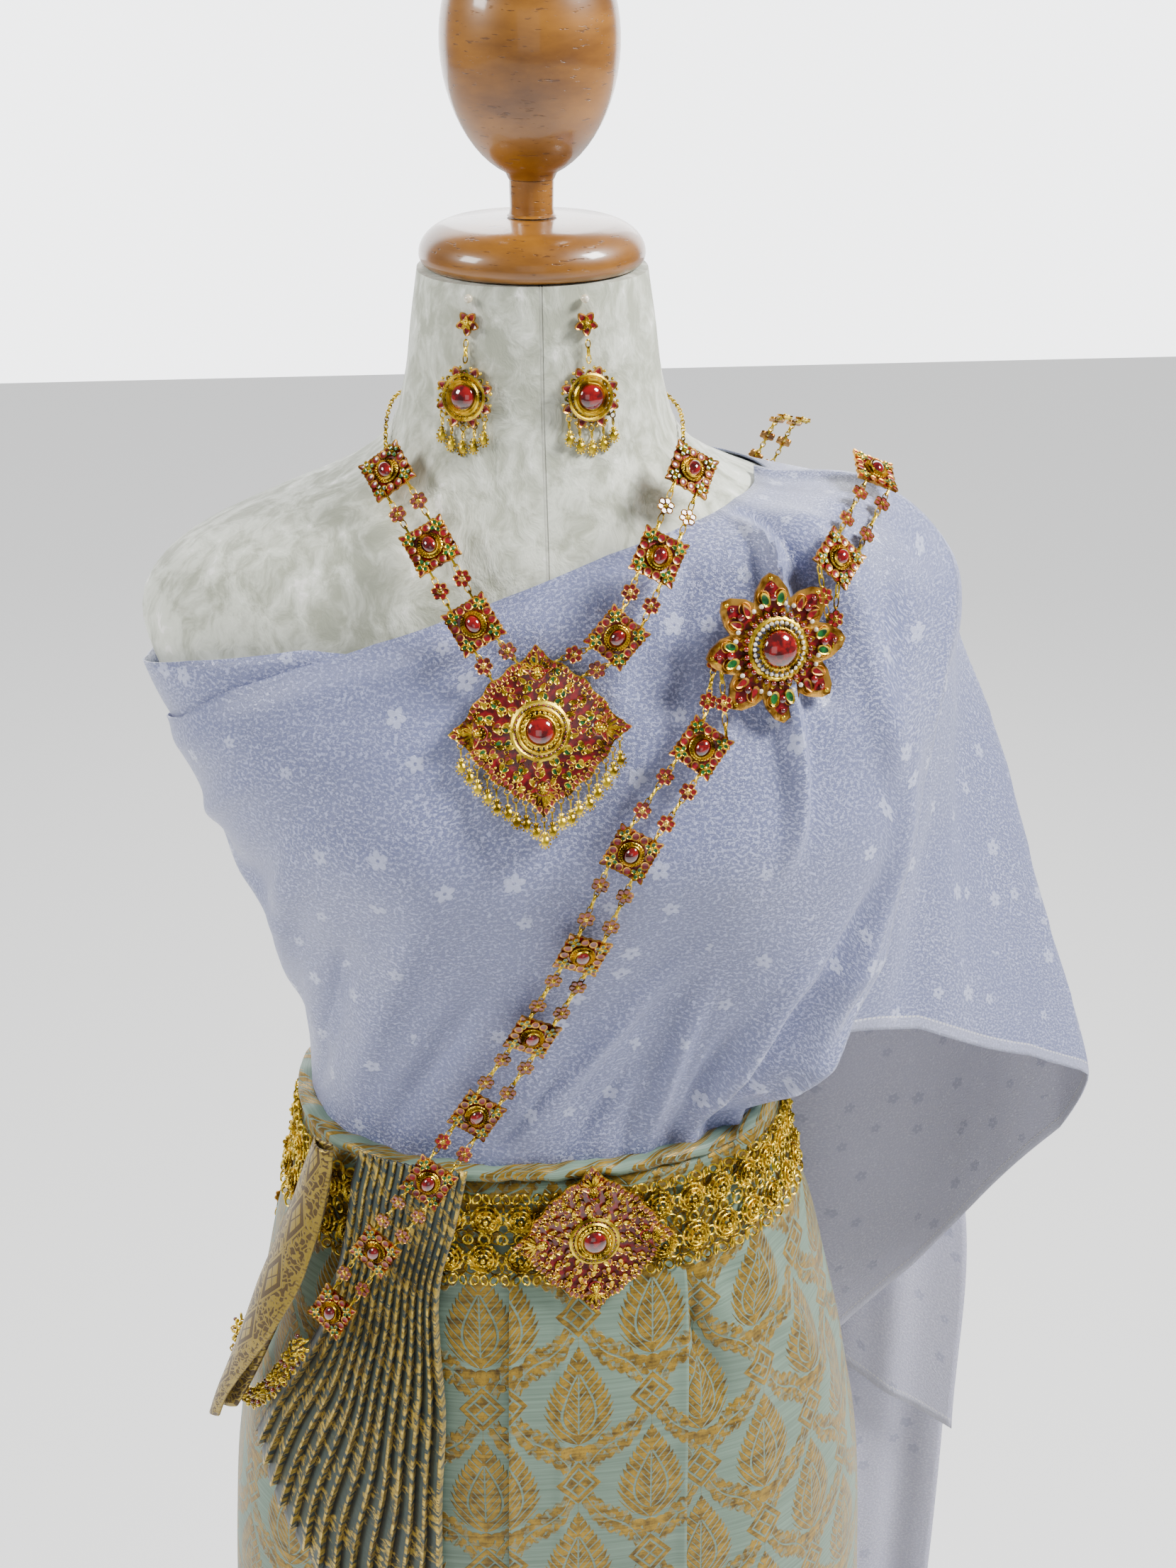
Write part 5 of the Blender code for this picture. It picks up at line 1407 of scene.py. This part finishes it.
for side, turn in (("left", -0.35), ("right", 0.35)):
    nodes = ["necklace_plaque_%s_%d" % (side, k) for k in (1, 2, 3)]
    row = plaques_piece("necklace_plaques_" + side, nodes, "enamel")
    net = bmesh.new()
    couple(net, [(seat, 0.0102) for seat in row], spread=0.0056)
    last = facing(row[-1], pendant_seat.translation)
    for across in (-1, 1):
        start = last @ Vector((across * 0.0056, 0.0102, 0.0006))
        end = pendant_seat @ Vector((PENDANT_WIDE * turn - across * 0.0058,
                                     PENDANT_TALL * 0.70 + across * math.copysign(0.0036, turn), 0.0012))
        strand(net, start, end, last.col[2].to_3d(), pendant_seat.col[2].to_3d())
    piece_of("necklace_strands_" + side, net, JEWEL, "gilt", "necklace_chain_" + side)


# ---------------------------------------------------------------- Neck chain, hip bundle and back run
# Fine cable chain closes the necklace behind the neck. At the hip the long chain gathers into a bundle
# under the flap, then climbs the back to the shoulder.
ROPE = ((-157, 1.3960), (-170, 1.4040), (175, 1.4095), (155, 1.4120), (130, 1.4135), (105, 1.4140),
        (80, 1.4140), (55, 1.4130), (30, 1.4110), (8, 1.4090), (-12, 1.4060), (-31, 1.3950))
HIP = ((-147.5, 0.9380, 0.0140), (-154.0, 0.9020, 0.0100), (-161.0, 0.8780, 0.0070), (-170.0, 0.8720, 0.0050),
       (-182.0, 0.8800, 0.0050))
BACK_ROUTE = ((-0.150, 0.060, 0.915), (-0.128, 0.092, 0.970), (-0.098, 0.118, 1.040), (-0.058, 0.148, 1.110),
              (-0.014, 0.1560, 1.160), (0.022, 0.1510, 1.216), (0.060, 0.1410, 1.270), (0.094, 0.1220, 1.316),
              (0.123, 0.0910, 1.352), (0.131, 0.0550, 1.385), (0.130, 0.0140, 1.3975))


def along(stops, pitch):
    """Seats at a pitch along a smooth curve through (place, normal) stops: Y ahead, Z off the cloth."""
    fine = []
    for i in range(len(stops) - 1):
        window = [stops[max(i - 1, 0)], stops[i], stops[i + 1], stops[min(i + 2, len(stops) - 1)]]
        for k in range(24):
            t = k / 24
            weights = ((-t + 2 * t * t - t ** 3) / 2, (2 - 5 * t * t + 3 * t ** 3) / 2,
                       (t + 4 * t * t - 3 * t ** 3) / 2, (t ** 3 - t * t) / 2)
            fine.append((sum((w * stop[0] for w, stop in zip(weights, window)), Vector()),
                         sum((w * stop[1] for w, stop in zip(weights, window)), Vector()).normalized()))
    fine.append(stops[-1])
    seats, run, want = [], 0.0, 0.0
    for (a, out), (b, _) in zip(fine, fine[1:]):
        step = (b - a).length
        while run + step >= want and step > 0:
            ahead = (b - a).normalized()
            side = ahead.cross(out).normalized()
            seats.append(seated(a.lerp(b, (want - run) / step), side, side.cross(ahead)))
            want += pitch
        run += step
    return seats


net = bmesh.new()
for k, seat in enumerate(along([surface(torso_radius, degrees, z, 0.0034) for degrees, z in ROPE], 0.0033)):
    stamp(net, LINK, seat, spun(90 if k % 2 else 0, "Y"), sized(0.85))
piece_of("neck_chain", net, JEWEL, "gilt", "necklace_rope")

net = bmesh.new()
hip = [surface(skirt_radius, degrees, z, lift + 0.0030) for degrees, z, lift in HIP]
for k, seat in enumerate(along(hip, 0.0026)):
    for strand_turn in range(4):
        turn = 90 * strand_turn + k * 34
        offset = Vector((0.0046 * math.cos(math.radians(turn)), 0, 0.0016 + 0.0024 * math.sin(math.radians(turn))))
        shape = (RING if strand_turn % 2 else BEAD) if (k + strand_turn) % 5 else RED_BEAD
        size = 0.0019 if shape is RING else 0.0013
        stamp(net, shape, seat, Matrix.Translation(offset), spun(turn, "Y"), sized(size))
piece_of("sangwan_hip_bundle", net, JEWEL, "gilt", "sangwan_chain_hip")

net = bmesh.new()
back = [(Vector(place), Vector((place[0] * 0.3, place[1], 0)).normalized()) for place in BACK_ROUTE[:-2]]
back += [(Vector(place), Vector((0.2, place[1] * 4, 1)).normalized()) for place in BACK_ROUTE[-2:]]
for k, seat in enumerate(along(back, 0.0044)):
    for side in (-1, 1):
        shape = FLOWER if k % 5 == 2 else LINK
        stamp(net, shape, seat, move(0.0045 * side, 0, 0.0016), spun(90 if shape is LINK and k % 2 else 0, "Y"))
piece_of("sangwan_back_strands", net, JEWEL, "gilt", "sangwan_chain_back")


# ---------------------------------------------------------------- Earrings
# Drop earrings pinned to the velvet with pearl-headed pins: a small enamelled flower, two rings, a round
# filigree disc with a domed ruby, and five teardrops.
for side in ("left", "right"):
    net = bmesh.new()
    pin, stud = seat_of("earring_pin_" + side), seat_of("earring_stud_" + side)
    disc = seat_of("earring_disc_" + side)
    up = Vector((0, 0, 1))
    across = up.cross(disc.col[2].to_3d()).normalized()
    level = seated(disc.translation, across, disc.col[2].to_3d())
    stamp(net, CLEAR_BEAD, pin, move(0, 0, 0.0020), sized(0.0021))
    piece_of("earring_pearl_" + side, net, JEWEL, "stone", "earring_pin_" + side)
    net = bmesh.new()
    petal_round(net, RED_LEAF, stud, 5, 0.0012, 0.0044, 0.0040, 0.0014, 0.0010)
    petal_round(net, GOLD_LEAF, stud, 5, 0.0006, 0.0026, 0.0018, 0.0012, 0.0022, 36)
    stamp(net, BEAD, stud, move(0, 0, 0.0032), sized(0.0010))
    for k, y in enumerate((0.0158, 0.0190, 0.0222)):
        stamp(net, LINK, level, move(0, y + 0.0010, 0.0020), spun(90 if k % 2 else 0, "Y"), sized(0.9, 0.8, 0.9))
    piece_of("earring_flower_" + side, net, JEWEL, "enamel", "earring_stud_" + side)
    net = bmesh.new()
    petal_round(net, RED_LEAF, level, 8, 0.0092, 0.0050, 0.0046, 0.0014, 0.0006, 22.5)
    petal_round(net, GREEN_LEAF, level, 8, 0.0088, 0.0034, 0.0024, 0.0014, 0.0010)
    petal_round(net, GOLD_LEAF, level, 24, 0.0066, 0.0030, 0.0018, 0.0016, 0.0010)
    bead_round(net, RED_BEAD, level, 24, 0.0106, 0.0007, 0.0020)
    bead_round(net, BEAD, level, 16, 0.0131, 0.0008, 0.0014, 11)
    stamp(net, FINE_RING, level, move(0, 0, 0.0022), sized(0.0098, 0.0098, 0.010))
    stamp(net, FINE_RING, level, move(0, 0, 0.0028), sized(0.0076, 0.0076, 0.012))
    domed_stone(net, level, 0.0060, 0.0036, 0.0026)
    piece_of("earring_disc_filigree_" + side, net, JEWEL, "enamel", "earring_disc_" + side)
    net = bmesh.new()
    for x, y in ((-0.0104, -0.0088), (-0.0056, -0.0124), (0, -0.0138), (0.0056, -0.0124), (0.0104, -0.0088)):
        stamp(net, TEARDROP, level, move(x, y, 0.0010), sized(0.95))
    piece_of("earring_teardrops_" + side, net, JEWEL, "gilt", "earring_drops_" + side)
